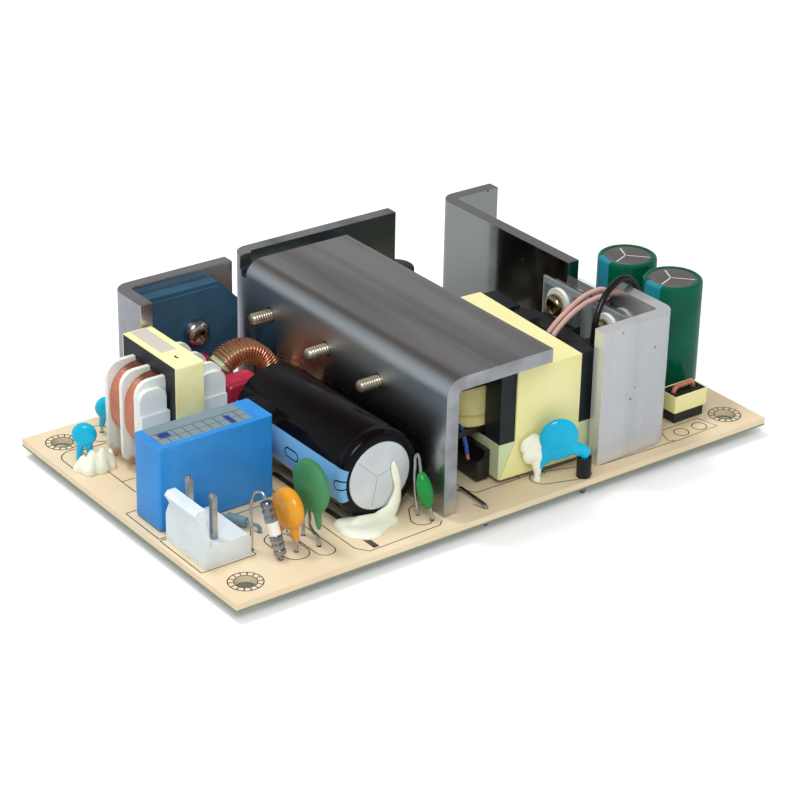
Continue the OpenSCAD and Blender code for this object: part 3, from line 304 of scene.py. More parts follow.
def shown(name, data):
    """A new object in the scene, of a shape, mesh, curve, lamp or lens."""
    if isinstance(data, bmesh.types.BMesh):
        shape, data = data, bpy.data.meshes.new(name)
        shape.to_mesh(data)
        shape.free()
    made = bpy.data.objects.new(name, data)
    bpy.context.collection.objects.link(made)
    return made


def settled(draft):
    """The mesh that an object has once its curve or modifiers are worked out."""
    seen = draft.evaluated_get(bpy.context.evaluated_depsgraph_get())
    mesh = bpy.data.meshes.new_from_object(seen)
    bpy.data.objects.remove(draft)
    return mesh


def shape_of(mesh):
    """A mesh as a new shape to work on."""
    shape = bmesh.new()
    shape.from_mesh(mesh)
    return shape


def curve_mesh(name, runs, closed=False, rounded=False, **profile):
    """The mesh of a curve through board places, with a profile along it."""
    curve = bpy.data.curves.new(name, "CURVE")
    curve.dimensions = "3D"
    curve.use_fill_caps = True
    for key, value in profile.items():
        setattr(curve, key, value)
    for run in runs:
        spline = curve.splines.new("BEZIER" if rounded else "POLY")
        points = spline.bezier_points if rounded else spline.points
        points.add(len(run) - 1)
        for point, place in zip(points, run):
            if rounded:
                point.co = at(*place)
                point.handle_left_type = point.handle_right_type = "AUTO"
            else:
                point.co = (*at(*place), 1.0)
        spline.use_cyclic_u = closed
    mesh = settled(shown(name, curve))
    bpy.data.curves.remove(curve)
    return mesh


def piece(name, shape, material, slot, *nodes, crease=32):
    """A finished piece of the object, shaded smooth except over its creases."""
    made = shown(name, shape)
    made.data.name = name
    made.data.materials.clear()
    made.data.materials.append(material)
    made.data.shade_smooth()
    made.data.set_sharp_from_angle(angle=math.radians(crease))
    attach(made, "root")
    if nodes:
        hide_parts(*nodes)
    return made


def stadium(x0, y0, x1, y1, radius, steps=8):
    """A closed outline with round corners."""
    corners = (
        (x1 - radius, y0 + radius, -90), (x1 - radius, y1 - radius, 0),
        (x0 + radius, y1 - radius, 90), (x0 + radius, y0 + radius, 180),
    )
    return [
        (
            cx + radius * math.cos(math.radians(start + 90 * i / steps)),
            cy + radius * math.sin(math.radians(start + 90 * i / steps)),
        )
        for cx, cy, start in corners
        for i in range(steps + 1)
    ]


def ring(cx, cy, radius, steps=36):
    """A closed circle."""
    return [
        (
            cx + radius * math.cos(math.tau * i / steps),
            cy + radius * math.sin(math.tau * i / steps),
        )
        for i in range(steps)
    ]


def turned_outline(outline, cx, cy, degrees):
    """An outline turned round a point."""
    c, s = math.cos(math.radians(degrees)), math.sin(math.radians(degrees))
    return [
        (cx + (x - cx) * c - (y - cy) * s, cy + (x - cx) * s + (y - cy) * c)
        for x, y in outline
    ]


ink_height, ink_line = 0.02, 0.22


def printed(name, outlines, width=ink_line, closed=False):
    """Ink lines of one width, flat on the board."""
    nib_curve = bpy.data.curves.new("nib", "CURVE")
    nib_spline = nib_curve.splines.new("POLY")
    nib_spline.points.add(1)
    nib_spline.points[0].co = (-width * mm / 2, 0, 0, 1)
    nib_spline.points[1].co = (width * mm / 2, 0, 0, 1)
    nib = shown("nib", nib_curve)
    shape = shape_of(
        curve_mesh(
            name,
            [[(px, py, ink_height) for px, py in outline] for outline in outlines],
            closed, bevel_mode="OBJECT", bevel_object=nib, twist_mode="Z_UP",
            use_fill_caps=False,
        ),
    )
    bpy.data.objects.remove(nib)
    bmesh.ops.recalc_face_normals(shape, faces=shape.faces)
    if sum(face.normal.z for face in shape.faces) < 0:
        bmesh.ops.reverse_faces(shape, faces=shape.faces)
    shape.normal_update()
    return piece(name, shape, ink, "board")


hole_places = [(5.715, 5.715), (121.285, 5.715), (5.715, 70.485), (121.285, 70.485)]
printed(
    "closed_print",
    [
        stadium(0.9, 12.6, 12.6, 26.6, 0.3), stadium(1.1, 27.2, 28.4, 38.9, 0.3),
        stadium(2.0, 56.2, 8.6, 66.6, 3.2), stadium(6.9, 45.1, 31.6, 65.4, 0.3),
        turned_outline(stadium(43.7, 3.6, 47.9, 11.2, 2.09), 45.8, 7.4, -32),
        stadium(16.2, 6.6, 21.3, 17.2, 2.5), stadium(21.7, 5.0, 25.6, 17.6, 1.9),
        turned_outline(stadium(71.0, 2.1, 83.4, 6.9, 2.39), 77.2, 4.5, -18),
        [(104.2, 3.6), (105.9, 2.5), (116.6, 2.9), (115.6, 7.6), (105.4, 7.6)],
        ring(108.8, 4.9, 1.5), ring(113.5, 4.8, 1.5), ring(117.7, 19.8, 6.7),
        ring(117.7, 33.5, 6.7), ring(80.5, 63, 4.6),
        stadium(62.4, 48.6, 71.6, 61.4, 0.3), stadium(87.4, 54.0, 96.6, 62.0, 0.3),
        stadium(30.4, 55.9, 49.0, 62.6, 0.3), stadium(117.8, 40.8, 126.4, 66.0, 0.3),
        stadium(29.6, 48.4, 39.2, 54.8, 0.8), stadium(30.2, 63.5, 38.2, 69.0, 0.8),
        stadium(11.0, 66.0, 16.2, 73.0, 2.5),
        *[ring(hx, hy, radius) for hx, hy in hole_places for radius in (2.15, 3.25)],
    ],
    closed=True,
)
printed(
    "open_print",
    [
        [(6.9, 49.9), (9.7, 49.9)],
        [(28.4, 14.7), (28.4, 4.3), (30.1, 1.9), (46.4, 2.3), (47.6, 3.4)],
        [(59.6, 8.3), (84.4, 7.9)], [(70.1, 8.2), (70.1, 9.7)],
        [(75.4, 8.1), (75.4, 6.9)], [(86.3, 3.4), (105.1, 2.7)],
        [(59.6, 8.3), (58.6, 10.2), (58.6, 40.0), (62.0, 43.6), (92.0, 42.0)],
        [(57.0, 2.6), (56.4, 5.2)],
    ],
)
tick_count = 14
printed(
    "ring_ticks",
    [
        [(hx + r * math.cos(turn), hy + r * math.sin(turn)) for r in (2.35, 3.1)]
        for hx, hy in hole_places
        for turn in [math.tau * i / tick_count for i in range(tick_count)]
    ],
    width=0.26,
)
printed(
    "heavy_bars", [[(32.6, 10.9), (32.5, 36.9)], [(32.0, 2.4), (32.0, 6.5)]], width=1.3
)

# ---- Soldered joints --------------------------------------------------------------
# Cones of bright tin lead solder round every leg, under the board. The wave that they
# were soldered in has left them slightly uneven.
solder = finish(
    "solder", rgb(200, 202, 205), rgb(160, 163, 168), 0.28, relief=0.02, grain=900.0,
    metallic=1.0,
)
dress("solder_joints", solder)

# ---- Sheet heatsinks --------------------------------------------------------------
# Sheared and folded from 2.8 mm aluminium sheet. The faces keep the roll marks, stains
# and scratches of the sheet, and the cut edges are brighter. Shade is painted on the back
# flange of the big heatsink and towards the back of the output heatsink.


def joined(node):
    """A copy of a node's own shape, with its loose triangles joined up."""
    shape = shape_of(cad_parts[node].data)
    bmesh.ops.remove_doubles(shape, verts=shape.verts, dist=2e-6)
    return shape


def eased(name, node, material, slot, width, segments=2, crease=32):
    """A node's own shape with its edges rounded over by a width in mm."""
    shape = joined(node)
    bmesh.ops.dissolve_limit(
        shape, angle_limit=math.radians(0.6), verts=shape.verts, edges=shape.edges,
        delimit={"NORMAL"},
    )
    made = piece(name, shape, material, slot, node, crease=crease)
    if width:
        rounding = made.modifiers.new("rounding", "BEVEL")
        rounding.width = width * mm
        rounding.segments = segments
        rounding.limit_method = "ANGLE"
        rounding.angle_limit = math.radians(crease)
        rounding.use_clamp_overlap = True
        rounding.harden_normals = True
    return made


def build_sheet_marks():
    """What rolling and handling leave on sheet metal: soft streaks and fine scratches."""
    marks = {
        "Streak": ((160.0, 9.0, 160.0), 0.0, 0.42, 0.68),
        "Fine Streak": ((1800.0, 30.0, 1800.0), 0.0, 0.35, 0.7),
        "Scratch": ((3600.0, 60.0, 3600.0), 0.35, 0.72, 0.76),
    }
    tree, given, result = node_group(
        "sheet_marks", {"Turn": "Vector"}, {name: "Float" for name in marks}
    )
    for name, (stretch, skew, low, high) in marks.items():
        place = own_place(tree)
        for angles in (given["Turn"], (skew, 0.0, skew)):
            turned_way = shader_node(
                tree, "Mapping", {"Vector": place, "Rotation": angles}
            )
            place = turned_way.outputs["Vector"]
        drawn = noise(tree, stretch, place=place)
        feed(tree, result[name], eased_step(tree, drawn, low, high))
    return tree


sheet_marks = build_sheet_marks()


def rolled_sheet(name, turn, patchy=0.4, scratched=0.6):
    """Aluminium sheet, with its roll marks along one way and dull stains."""
    material = finish(
        name, rgb(222, 222, 222), rgb(208, 210, 214), 0.2, relief=0.0, patches=36.0,
        grain=500.0, spread=0.2, metallic=1.0,
    )
    tree = material.node_tree
    marks = shader_node(tree, "Group", {"Turn": turn}, node_tree=sheet_marks).outputs
    for mark, share, shade, dullness in (
        ("Streak", patchy, rgb(170, 168, 166), 0.42),
        ("Fine Streak", 0.2, rgb(196, 196, 198), 0.3),
        ("Scratch", scratched, rgb(236, 236, 236), 0.42),
    ):
        tint(material, times(tree, marks[mark], share), shade, dullness)
    return material


cut_edge = 0.32
main_sheet = rolled_sheet("main_sheet", (0.0, 0.0, 0.0), patchy=0.85)
tree = main_sheet.node_tree
y, z = measured(tree, "yz")
haze = times(
    tree, eased_step(tree, z, 13.0, 22.0),
    eased_step(tree, facing(tree)["X"], -0.5, -0.9),
    0.75,
)
tint(main_sheet, haze, rgb(206, 212, 216), 0.5)
# painted shade: the front face of the back flange is tinted a darker blue grey, standing in
# for the dark reflection it shows
upright = times(
    tree,
    eased_step(tree, facing(tree)["Y"], -0.8, -0.95),
    eased_step(tree, y, 40.0, 50.0), 0.8,
)
tint(main_sheet, upright, rgb(136, 162, 178), 0.3)
eased("main_heatsink_sheet", "main_heatsink", main_sheet, "sheet", cut_edge, 3)
side_sheet = rolled_sheet("side_sheet", (0.0, 0.0, math.radians(90)))
eased(
    "rectifier_heatsink_sheet", "rectifier_heatsink", side_sheet, "sheet", cut_edge, 3
)
output_sheet = rolled_sheet(
    "output_sheet", (math.radians(90), 0.0, 0.0), patchy=0.22, scratched=0.0
)
tree = output_sheet.node_tree
[y] = measured(tree, "y")
# painted shade: towards the back the sheet is painted darker and made fully metallic, and
# nearer the front it is only half metallic, which makes it look lighter
behind = eased_step(tree, y, 9.0, 20.0)
tint(output_sheet, times(tree, behind, 0.85), rgb(176, 176, 172), 0.07)
feed(tree, tree.nodes["shader"].inputs["Metallic"], mixed_value(tree, behind, 0.5, 1.0))
specks = shader_node(tree, "TexVoronoi", {"Vector": own_place(tree), "Scale": 210.0})
speck = eased_step(tree, specks.outputs["Distance"], 0.07, 0.04)
tint(output_sheet, speck, rgb(110, 110, 112), 0.5)
eased("output_heatsink_sheet", "output_heatsink", output_sheet, "sheet", cut_edge, 3)

# ---- Bridge rectifier and its screw -----------------------------------------------
# A flat slate blue block of filled resin with a chamfered corner, held to the small
# heatsink by a nickel plated pan head screw.
slate_resin = finish(
    "slate_resin", rgb(48, 88, 112), rgb(40, 76, 98), 0.4, relief=0.012, grain=1500.0
)
eased("rectifier_block", "bridge_rectifier", slate_resin, "rectifier_case", 0.22)


def standing(place, axis):
    """The matrix that points a shape at the origin along an axis, and moves it away."""
    turn_to = Vector(axis).to_track_quat("Z", "Y").to_matrix().to_4x4()
    return Matrix.Translation(at(*place)) @ turn_to


def turned(profile, place=(0, 0, 0), axis=(0, 0, 1), segments=64):
    """A solid turned round an axis from (radius, distance along) pairs in mm."""
    shape = bmesh.new()
    points = [shape.verts.new((r * mm, 0, d * mm)) for r, d in profile]
    edges = [shape.edges.new(pair) for pair in zip(points, points[1:])]
    bmesh.ops.spin(
        shape, geom=points + edges, cent=(0, 0, 0), axis=(0, 0, 1), angle=math.tau,
        steps=segments, use_merge=True,
    )
    bmesh.ops.remove_doubles(shape, verts=shape.verts, dist=2e-7)
    bmesh.ops.recalc_face_normals(shape, faces=shape.faces)
    bmesh.ops.transform(shape, matrix=standing(place, axis), verts=shape.verts)
    return shape


def moved(shape, matrix):
    """Takes a shape drawn at the board's corner to where a matrix puts it."""
    bmesh.ops.translate(shape, vec=-at(0, 0, 0), verts=shape.verts)
    bmesh.ops.transform(shape, matrix=matrix, verts=shape.verts)
    return shape


def gathered(*shapes):
    """Several shapes as one."""
    whole = bmesh.new()
    for shape in shapes:
        part = bpy.data.meshes.new("part")
        shape.to_mesh(part)
        shape.free()
        whole.from_mesh(part)
        bpy.data.meshes.remove(part)
    return whole


def block(x0, y0, z0, x1, y1, z1):
    """A box between two corners in board millimetres."""
    shape = bmesh.new()
    low, high = at(x0, y0, z0), at(x1, y1, z1)
    bmesh.ops.create_cube(shape, size=1.0)
    bmesh.ops.scale(shape, vec=high - low, verts=shape.verts)
    bmesh.ops.translate(shape, vec=(low + high) / 2, verts=shape.verts)
    return shape


def carved(shape, cutter):
    """A shape with another taken out of it."""
    blank, tool = shown("blank", shape), shown("cutter", cutter)
    cut = blank.modifiers.new("cut", "BOOLEAN")
    cut.operation, cut.solver, cut.object = "DIFFERENCE", "EXACT", tool
    result = shape_of(settled(blank))
    bpy.data.objects.remove(tool)
    return result


def crossed_screw(place, axis, turn, head_r, head_h, shank_r, shank_l, pitch=0.55):
    """A pan head screw with a cross recess and a threaded shank that ends in a chamfer.
    The place is where the head's underside bears, and the head points along the axis."""
    head = turned(
        [
            (0, 0), (head_r * 0.96, 0), (head_r, 0.12), (head_r, head_h * 0.34),
            (head_r * 0.94, head_h * 0.62), (head_r * 0.78, head_h * 0.85),
            (head_r * 0.5, head_h * 0.97), (0, head_h),
        ],
        segments=48,
    )
    corner, slot_w = at(0, 0, 0), 0.75
    for quarter in (0, 90):
        blade = bmesh.new()
        bmesh.ops.create_cube(blade, size=1.0)
        bmesh.ops.scale(
            blade,
            vec=(head_r * 1.15 * mm, slot_w * mm, head_h * 1.3 * mm),
            verts=blade.verts,
        )
        bmesh.ops.translate(blade, vec=at(0, 0, head_h * 1.05), verts=blade.verts)
        for vert in blade.verts:
            if vert.co.z < at(0, 0, head_h).z:
                offset = vert.co - corner
                vert.co = corner + Vector((offset.x * 0.35, offset.y * 0.8, offset.z))
        bmesh.ops.rotate(
            blade, cent=corner,
            matrix=Matrix.Rotation(math.radians(quarter + turn), 3, "Z"),
            verts=blade.verts,
        )
        head = carved(head, blade)
    thread = [(0, 0.05)]
    for i in range(int(shank_l / pitch)):
        thread += [
            (shank_r, -i * pitch - 0.1), (shank_r, -i * pitch - 0.18),
            (shank_r * 0.86, -i * pitch - pitch * 0.72),
        ]
    thread += [
        (shank_r * 0.8, -shank_l + 0.15), (shank_r * 0.62, -shank_l), (0, -shank_l)
    ]
    return moved(gathered(head, turned(thread, segments=28)), standing(place, axis))


nickel = finish(
    "nickel", rgb(214, 212, 208), rgb(188, 186, 184), 0.13, relief=0.002, patches=300.0,
    spread=0.12, metallic=1.0,
)
piece(
    "rectifier_pan_screw",
    crossed_screw(
        (35.9, 69.2, 16.45), (0, -1, 0), 20, head_r=2.78, head_h=2.15, shank_r=1.48,
        shank_l=6.5,
    ),
    nickel, "screw", "rectifier_screw", crease=40,
)

# ---- Transistors ------------------------------------------------------------------
# Three moulded packages on thin insulating pads, clamped to the far side of the big
# heatsink. Their screws come through the wall and show as threaded tips.
black_resin = finish(
    "black_resin", rgb(38, 38, 40), rgb(30, 30, 32), 0.38, relief=0.01, grain=1800.0
)
grey_pad = finish(
    "grey_pad", rgb(150, 158, 162), rgb(136, 144, 150), 0.55, relief=0.008
)
tabbed_resin = marked(black_resin, "tabbed_resin")
tree = tabbed_resin.node_tree
[z] = measured(tree, "z")
tab = eased_step(tree, z, 16.25, 16.35)
tint(tabbed_resin, tab, rgb(150, 156, 160), 0.3)
feed(tree, tree.nodes["shader"].inputs["Metallic"], mixed_value(tree, tab, 0.0, 0.6))
dull_steel = finish(
    "dull_steel", rgb(214, 204, 182), rgb(170, 160, 140), 0.26, relief=0.004,
    patches=300.0, metallic=0.75,
)
eased("transistor_packages", "transistors", tabbed_resin, "package", 0.12)
dress("transistor_pads", grey_pad)
piece(
    "transistor_pan_screws",
    gathered(
        *[
            crossed_screw(
                (52.9, screw_y, 19.8), (1, 0, 0), 17 * i, head_r=2.75, head_h=2.05,
                shank_r=1.25, shank_l=9.0,
            )
            for i, screw_y in enumerate((25.1, 42.1, 61.4))
        ],
    ),
    dull_steel, "screw", "transistor_screws", crease=40,
)

# ---- Reservoir capacitor ----------------------------------------------------------
# An aluminium can lying on its side in a shrunk black sleeve with a pale blue stripe.
# The end shows the bare can, scored with three vent lines.
bulk_axis, bulk_r, bulk_front = (38.5, 9.05), 9.0, 10.5
black_sleeve = finish(
    "black_sleeve", rgb(11, 6, 9), rgb(7, 4, 6), 0.17, relief=0.003, patches=110.0,
    grain=500.0, spread=0.1, specular_ior_level=0.2,
)
tree = black_sleeve.node_tree
x, y, z = measured(tree, "xyz")


def bearing(tree, rise, run):
    """The angle in degrees of a point that lies a rise and a run from an axis."""
    return times(tree, maths(tree, "ARCTAN2", rise, run), 180 / math.pi)


def distance(tree, across, along):
    """How far a point is from where both values are 0."""
    squares = [maths(tree, "POWER", value, 2.0) for value in (across, along)]
    return maths(tree, "SQRT", maths(tree, "ADD", *squares))


def within(tree, value, low, high, soft=0.05):
    """A mask that is 1 between two limits."""
    rise = eased_step(tree, value, low - soft, low + soft)
    fall = eased_step(tree, value, high + soft, high - soft)
    return times(tree, rise, fall)


# the angle is taken from the left of the can, so that it doesn't jump in the stripe
above_axis = maths(tree, "SUBTRACT", z, bulk_axis[1])
round_angle = bearing(tree, above_axis, maths(tree, "SUBTRACT", bulk_axis[0], x))
stripe = within(tree, round_angle, -23.0, 23.0, 0.5)
from_axis = distance(tree, above_axis, maths(tree, "SUBTRACT", x, bulk_axis[0]))
rim_in = eased_step(tree, from_axis, 7.55, 7.7)
tint(black_sleeve, times(tree, stripe, rim_in), rgb(112, 168, 214), 0.2)
across = times(tree, maths(tree, "ADD", round_angle, -2.0), bulk_r * math.pi / 180)


def slot_outline(tree, across, along, start, end, half_width=0.9, line=0.3):
    """A mask for a thin line in the shape of a long slot with round ends."""
    from_middle = maths(
        tree, "ABSOLUTE", maths(tree, "SUBTRACT", along, (start + end) / 2)
    )
    beyond = maths(tree, "SUBTRACT", from_middle, (end - start) / 2)
    away = distance(tree, across, maths(tree, "MAXIMUM", beyond, 0.0))
    return within(tree, away, half_width - line / 2, half_width + line / 2, 0.04)


for start, end in ((9.0, 11.6), (25.0, 27.4)):
    tint(black_sleeve, slot_outline(tree, across, y, start, end), rgb(22, 26, 40))
sleeve_low, sleeve_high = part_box("bulk_sleeve")
sleeve_l = (sleeve_high.y - sleeve_low.y) / mm
piece(
    "bulk_sleeve_skin",
    turned(
        [
            (6.85, 0.12), (6.95, 0.03), (7.3, 0.0), (7.9, 0.06), (8.42, 0.26),
            (8.78, 0.62), (8.96, 1.1), (9.0, 1.7), (8.93, 2.3), (8.82, 2.9),
            (8.93, 3.5), (9.0, 4.2), (9.0, sleeve_l - 0.8), (8.8, sleeve_l - 0.2),
            (8.4, sleeve_l), (7.2, sleeve_l), (7.1, sleeve_l - 0.12),
            (8.35, sleeve_l - 0.3), (8.7, sleeve_l - 1.2), (8.7, 1.0), (8.3, 0.6),
            (7.5, 0.5), (7.4, 0.18), (6.85, 0.12),
        ],
        (bulk_axis[0], bulk_front, bulk_axis[1]), (0, 1, 0), 96,
    ),
    black_sleeve, "black_sleeve", "bulk_sleeve",
)
bare_can = finish(
    "bare_can", rgb(222, 226, 230), rgb(204, 208, 214), 0.3, relief=0.003, spread=0.2,
    metallic=0.85,
)
eased("bulk_can", "bulk_capacitor", bare_can, "can", 0.12)


def score_blade(start, end, width, depth):
    """A bar along a vent line, on the flat end drawn at the board's corner."""
    run = Vector((end[0] - start[0], end[1] - start[1], 0))
    blade = bmesh.new()
    bmesh.ops.create_cube(blade, size=1.0)
    bmesh.ops.scale(
        blade,
        vec=((run.length + width) * mm, width * mm, 2 * depth * mm),
        verts=blade.verts,
    )
    bmesh.ops.rotate(
        blade, cent=(0, 0, 0),
        matrix=Matrix.Rotation(math.atan2(run.y, run.x), 3, "Z"),
        verts=blade.verts,
    )
    bmesh.ops.translate(
        blade,
        vec=at((end[0] + start[0]) / 2, (end[1] + start[1]) / 2, 0),
        verts=blade.verts,
    )
    return blade


def scored_end(radius, thickness, ends, groove=0.22, depth=0.16):
    """The flat end of a can at the board's corner, facing up, with vent grooves from a
    middle point to each end given as (across, up) in millimetres from the centre."""
    rim = 0.12
    plate = turned(
        [
            (0, -thickness), (radius, -thickness), (radius, -rim), (radius - rim, 0),
            (0, 0),
        ],
        segments=72,
    )
    middle, *tips = ends
    for tip in tips:
        plate = carved(plate, score_blade(middle, tip, groove, depth))
    return plate


piece(
    "bulk_can_end",
    moved(
        scored_end(6.84, 0.3, [(-0.5, -0.1), (-4.8, 3.9), (5.9, 1.9), (-1.7, -6.0)]),
        Matrix.Translation(at(bulk_axis[0], bulk_front + 0.12, bulk_axis[1]))
        @ Matrix.Rotation(math.radians(90), 4, "X"),
    ),
    finish(
        "dull_end", rgb(226, 232, 236), rgb(212, 218, 222), 0.42, relief=0.004,
        spread=0.2, metallic=0.35,
    ),
    "can", crease=25,
)

# ---- Film capacitor ---------------------------------------------------------------
# A box of bright blue plastic filled with resin. The silver print on its top is two
# rows of plain cells.
blue_case = finish(
    "blue_case", rgb(44, 142, 216), rgb(36, 130, 206), 0.34, relief=0.006, grain=1600.0
)
tree = blue_case.node_tree
x, y, z = measured(tree, "xyz")
on_top = eased_step(tree, z, 16.95, 17.0)
rubbed = times(
    tree,
    eased_step(tree, noise(tree, 700.0, 3.0), 0.5, 0.72),
    within(tree, z, 16.6, 16.93, 0.15),
)
tint(blue_case, rubbed, rgb(92, 162, 222), 0.5)


def on_label(tree, x, y, x0, x1, y0, y1, soft=0.05):
    """A mask for a rectangle on a flat face."""
    return times(tree, within(tree, x, x0, x1, soft), within(tree, y, y0, y1, soft))


print_left = 4.1
silver = times(tree, on_top, on_label(tree, x, y, print_left, 23.6, 30.3, 37.4))
tint(blue_case, silver, rgb(122, 140, 148), 0.42)
column = maths(tree, "PINGPONG", maths(tree, "SUBTRACT", x, print_left), 1.11)
lines = times(tree, eased_step(tree, column, 0.13, 0.05), within(tree, y, 30.5, 34.5))
for y0, y1 in ((32.25, 32.4), (34.4, 34.6)):
    lines = maths(tree, "MAXIMUM", lines, within(tree, y, y0, y1))
tint(blue_case, times(tree, lines, silver), rgb(66, 72, 76), 0.5)
for x0, x1, y0, y1 in ((5.2, 7.6, 32.5, 34.3), (19.2, 20.4, 30.4, 33.8)):
    mark = times(tree, on_top, on_label(tree, x, y, x0, x1, y0, y1, 0.2))
    tint(blue_case, mark, rgb(24, 50, 130), 0.4)
eased("film_capacitor_box", "film_capacitor", blue_case, "blue_case", 0.5, 4)

# ---- Connectors -------------------------------------------------------------------
# Natural nylon headers with a polarising wall. Square tinned posts are pressed through
# them and soldered into the board.
nylon = finish(
    "nylon", rgb(218, 228, 230), rgb(210, 221, 224), 0.3, relief=0.006, patches=240.0
)
tin = finish(
    "tin", rgb(196, 198, 200), rgb(168, 170, 174), 0.26, relief=0.004, metallic=1.0,
    patches=420.0,
)
eased("input_header_body", "input_header", nylon, "nylon", 0.3, 3)
eased("input_posts_tin", "input_pins", tin, "pin", 0.1)
eased("output_header_body", "output_header", nylon, "nylon", 0.3, 3)
eased("output_posts_tin", "output_pins", tin, "pin", 0.1)

# ---- Fuse -------------------------------------------------------------------------
# A ceramic tube between two ridged, plated caps, stood on end at a slant on the two bent
# wires that are soldered to the caps.
ceramic = finish("ceramic", rgb(232, 230, 222), rgb(214, 212, 204), 0.5, relief=0.01)
cap_steel = finish(
    "cap_steel", rgb(168, 170, 174), rgb(132, 134, 140), 0.2, relief=0.002,
    metallic=1.0, patches=420.0,
)
fuse_foot, fuse_head = (15.2, 8.6, 0.9), (14.3, 12, 10.7)
fuse_run = at(*fuse_head) - at(*fuse_foot)
fuse_l, fuse_r, fuse_cap_l, fuse_gap = fuse_run.length / mm, 1.14, 3.9, 0.01


def on_fuse(profile):
    """A turned shape on the fuse's leaning middle line."""
    return turned(profile, fuse_foot, fuse_run, 48)


ridges = [
    (0.0, 0.0), (0.5, 0.0), (1.0, 0.08), (1.15, 0.3), (1.18, 1.0), (1.05, 1.2),
    (1.05, 1.45), (1.2, 1.7), (1.2, 2.2), (1.06, 2.4), (1.06, 2.6), (1.2, 2.85),
    (1.2, 3.8), (1.15, fuse_cap_l), (0.0, fuse_cap_l),
]
piece(
    "fuse_end_caps",
    gathered(
        on_fuse(ridges), on_fuse([(r, fuse_l - along) for r, along in reversed(ridges)])
    ),
    cap_steel, "cap_metal", "fuse_caps",
)
tube_edge = [(0, fuse_gap), (fuse_r - 0.06, fuse_gap), (fuse_r, 0.1)]
piece(
    "fuse_tube",
    on_fuse(
        [(r, fuse_cap_l + along) for r, along in tube_edge]
        + [(r, fuse_l - fuse_cap_l - along) for r, along in reversed(tube_edge)],
    ),
    ceramic, "ceramic", "fuse_body",
)


def legs(runs, diameter):
    """Round wires through board places, as one shape."""
    wires = shape_of(
        curve_mesh(
            "legs", runs, rounded=True, bevel_depth=diameter * mm / 2,
            bevel_resolution=3, resolution_u=6,
        ),
    )
    bmesh.ops.recalc_face_normals(wires, faces=wires.faces)
    return wires


def tinned(name, runs, diameter=0.6):
    """Bare tinned legs."""
    return piece(name, legs(runs, diameter), tin, "pin")


tinned(
    "fuse_wires",
    [
        [
            (14.25, 12.1, 11.0), (14.2, 12.3, 11.6), (14.0, 12.95, 12.15),
            (13.5, 13.8, 12.05), (13.1, 14.3, 11.2), (12.9, 14.6, 9.5), (12.9, 14.6, 4),
            (12.9, 14.6, underside),
        ],
        [
            (15.24, 8.5, 0.7), (15.2, 8.55, 0.2), (15.2, 8.6, -0.4),
            (15.2, 8.6, underside),
        ],
    ],
)

# ---- Blue discs -------------------------------------------------------------------
# Three ceramic disc capacitors dipped in sky blue resin, thick in the middle and drawn
# down over their two bare tinned legs.


def melted(node, cut_z, fineness=0.16, rounds=10):
    """A node's shape above a height, run together as a dipped or poured coat is."""
    shape = joined(node)
    cut = bmesh.ops.bisect_plane(
        shape,
        geom=shape.verts[:] + shape.edges[:] + shape.faces[:],
        plane_co=at(0, 0, cut_z), plane_no=(0, 0, -1), clear_outer=True,
    )
    rim = [item for item in cut["geom_cut"] if isinstance(item, bmesh.types.BMEdge)]
    bmesh.ops.holes_fill(shape, edges=rim)
    bmesh.ops.recalc_face_normals(shape, faces=shape.faces)
    return fused(shape, fineness, rounds)


def fused(shape, fineness, rounds):
    """A shape whose parts are run together and smoothed, as a thick liquid is."""
    draft = shown("draft", shape)
    fusing = draft.modifiers.new("fusing", "REMESH")
    fusing.mode, fusing.voxel_size = "VOXEL", fineness * mm
    flow = draft.modifiers.new("flow", "SMOOTH")
    flow.factor, flow.iterations = 0.5, rounds
    return shape_of(settled(draft))


def poured(blobs, place=(0, 0, 0), degrees=0.0, fineness=0.16, rounds=6, links=0):
    """Lumps run together: each is a middle and three half sizes, in millimetres. The
    links are further lumps between one and the next."""
    shape = bmesh.new()
    if links:
        chain = []
        for one, other in zip(blobs, blobs[1:]):
            for i in range(links + 1):
                share = i / (links + 1)
                chain.append([a + (b - a) * share for a, b in zip(one, other)])
        blobs = chain + [blobs[-1]]
    for x, y, z, half_x, half_y, half_z in blobs:
        lump = bmesh.ops.create_icosphere(shape, subdivisions=3, radius=mm)["verts"]
        bmesh.ops.scale(shape, vec=(half_x, half_y, half_z), verts=lump)
        bmesh.ops.translate(shape, vec=Vector((x, y, z)) * mm, verts=lump)
    bmesh.ops.rotate(
        shape, cent=(0, 0, 0),
        matrix=Matrix.Rotation(math.radians(degrees), 3, "Z"),
        verts=shape.verts,
    )
    bmesh.ops.translate(shape, vec=at(*place), verts=shape.verts)
    return fused(shape, fineness, rounds)


def dipped(name, node, material, slot, cut_z, feet, fineness=0.16, rounds=10):
    """A dipped coat down to a height, and the two bare legs under it."""
    shape = melted(node, cut_z, fineness, rounds)
    body = piece(name + "_coat", shape, material, slot, node, crease=80)
    heights = (underside, 0.4, cut_z + 0.6)
    tinned(
        name + "_legs", [[(fx, fy, height) for height in heights] for fx, fy in feet]
    )
    return body


def coat(name, first, second, dullness=0.12, relief=0.006):
    """A dipped resin coat."""
    return finish(
        name, first, second, dullness, relief=relief, grain=1200.0, spread=0.1
    )


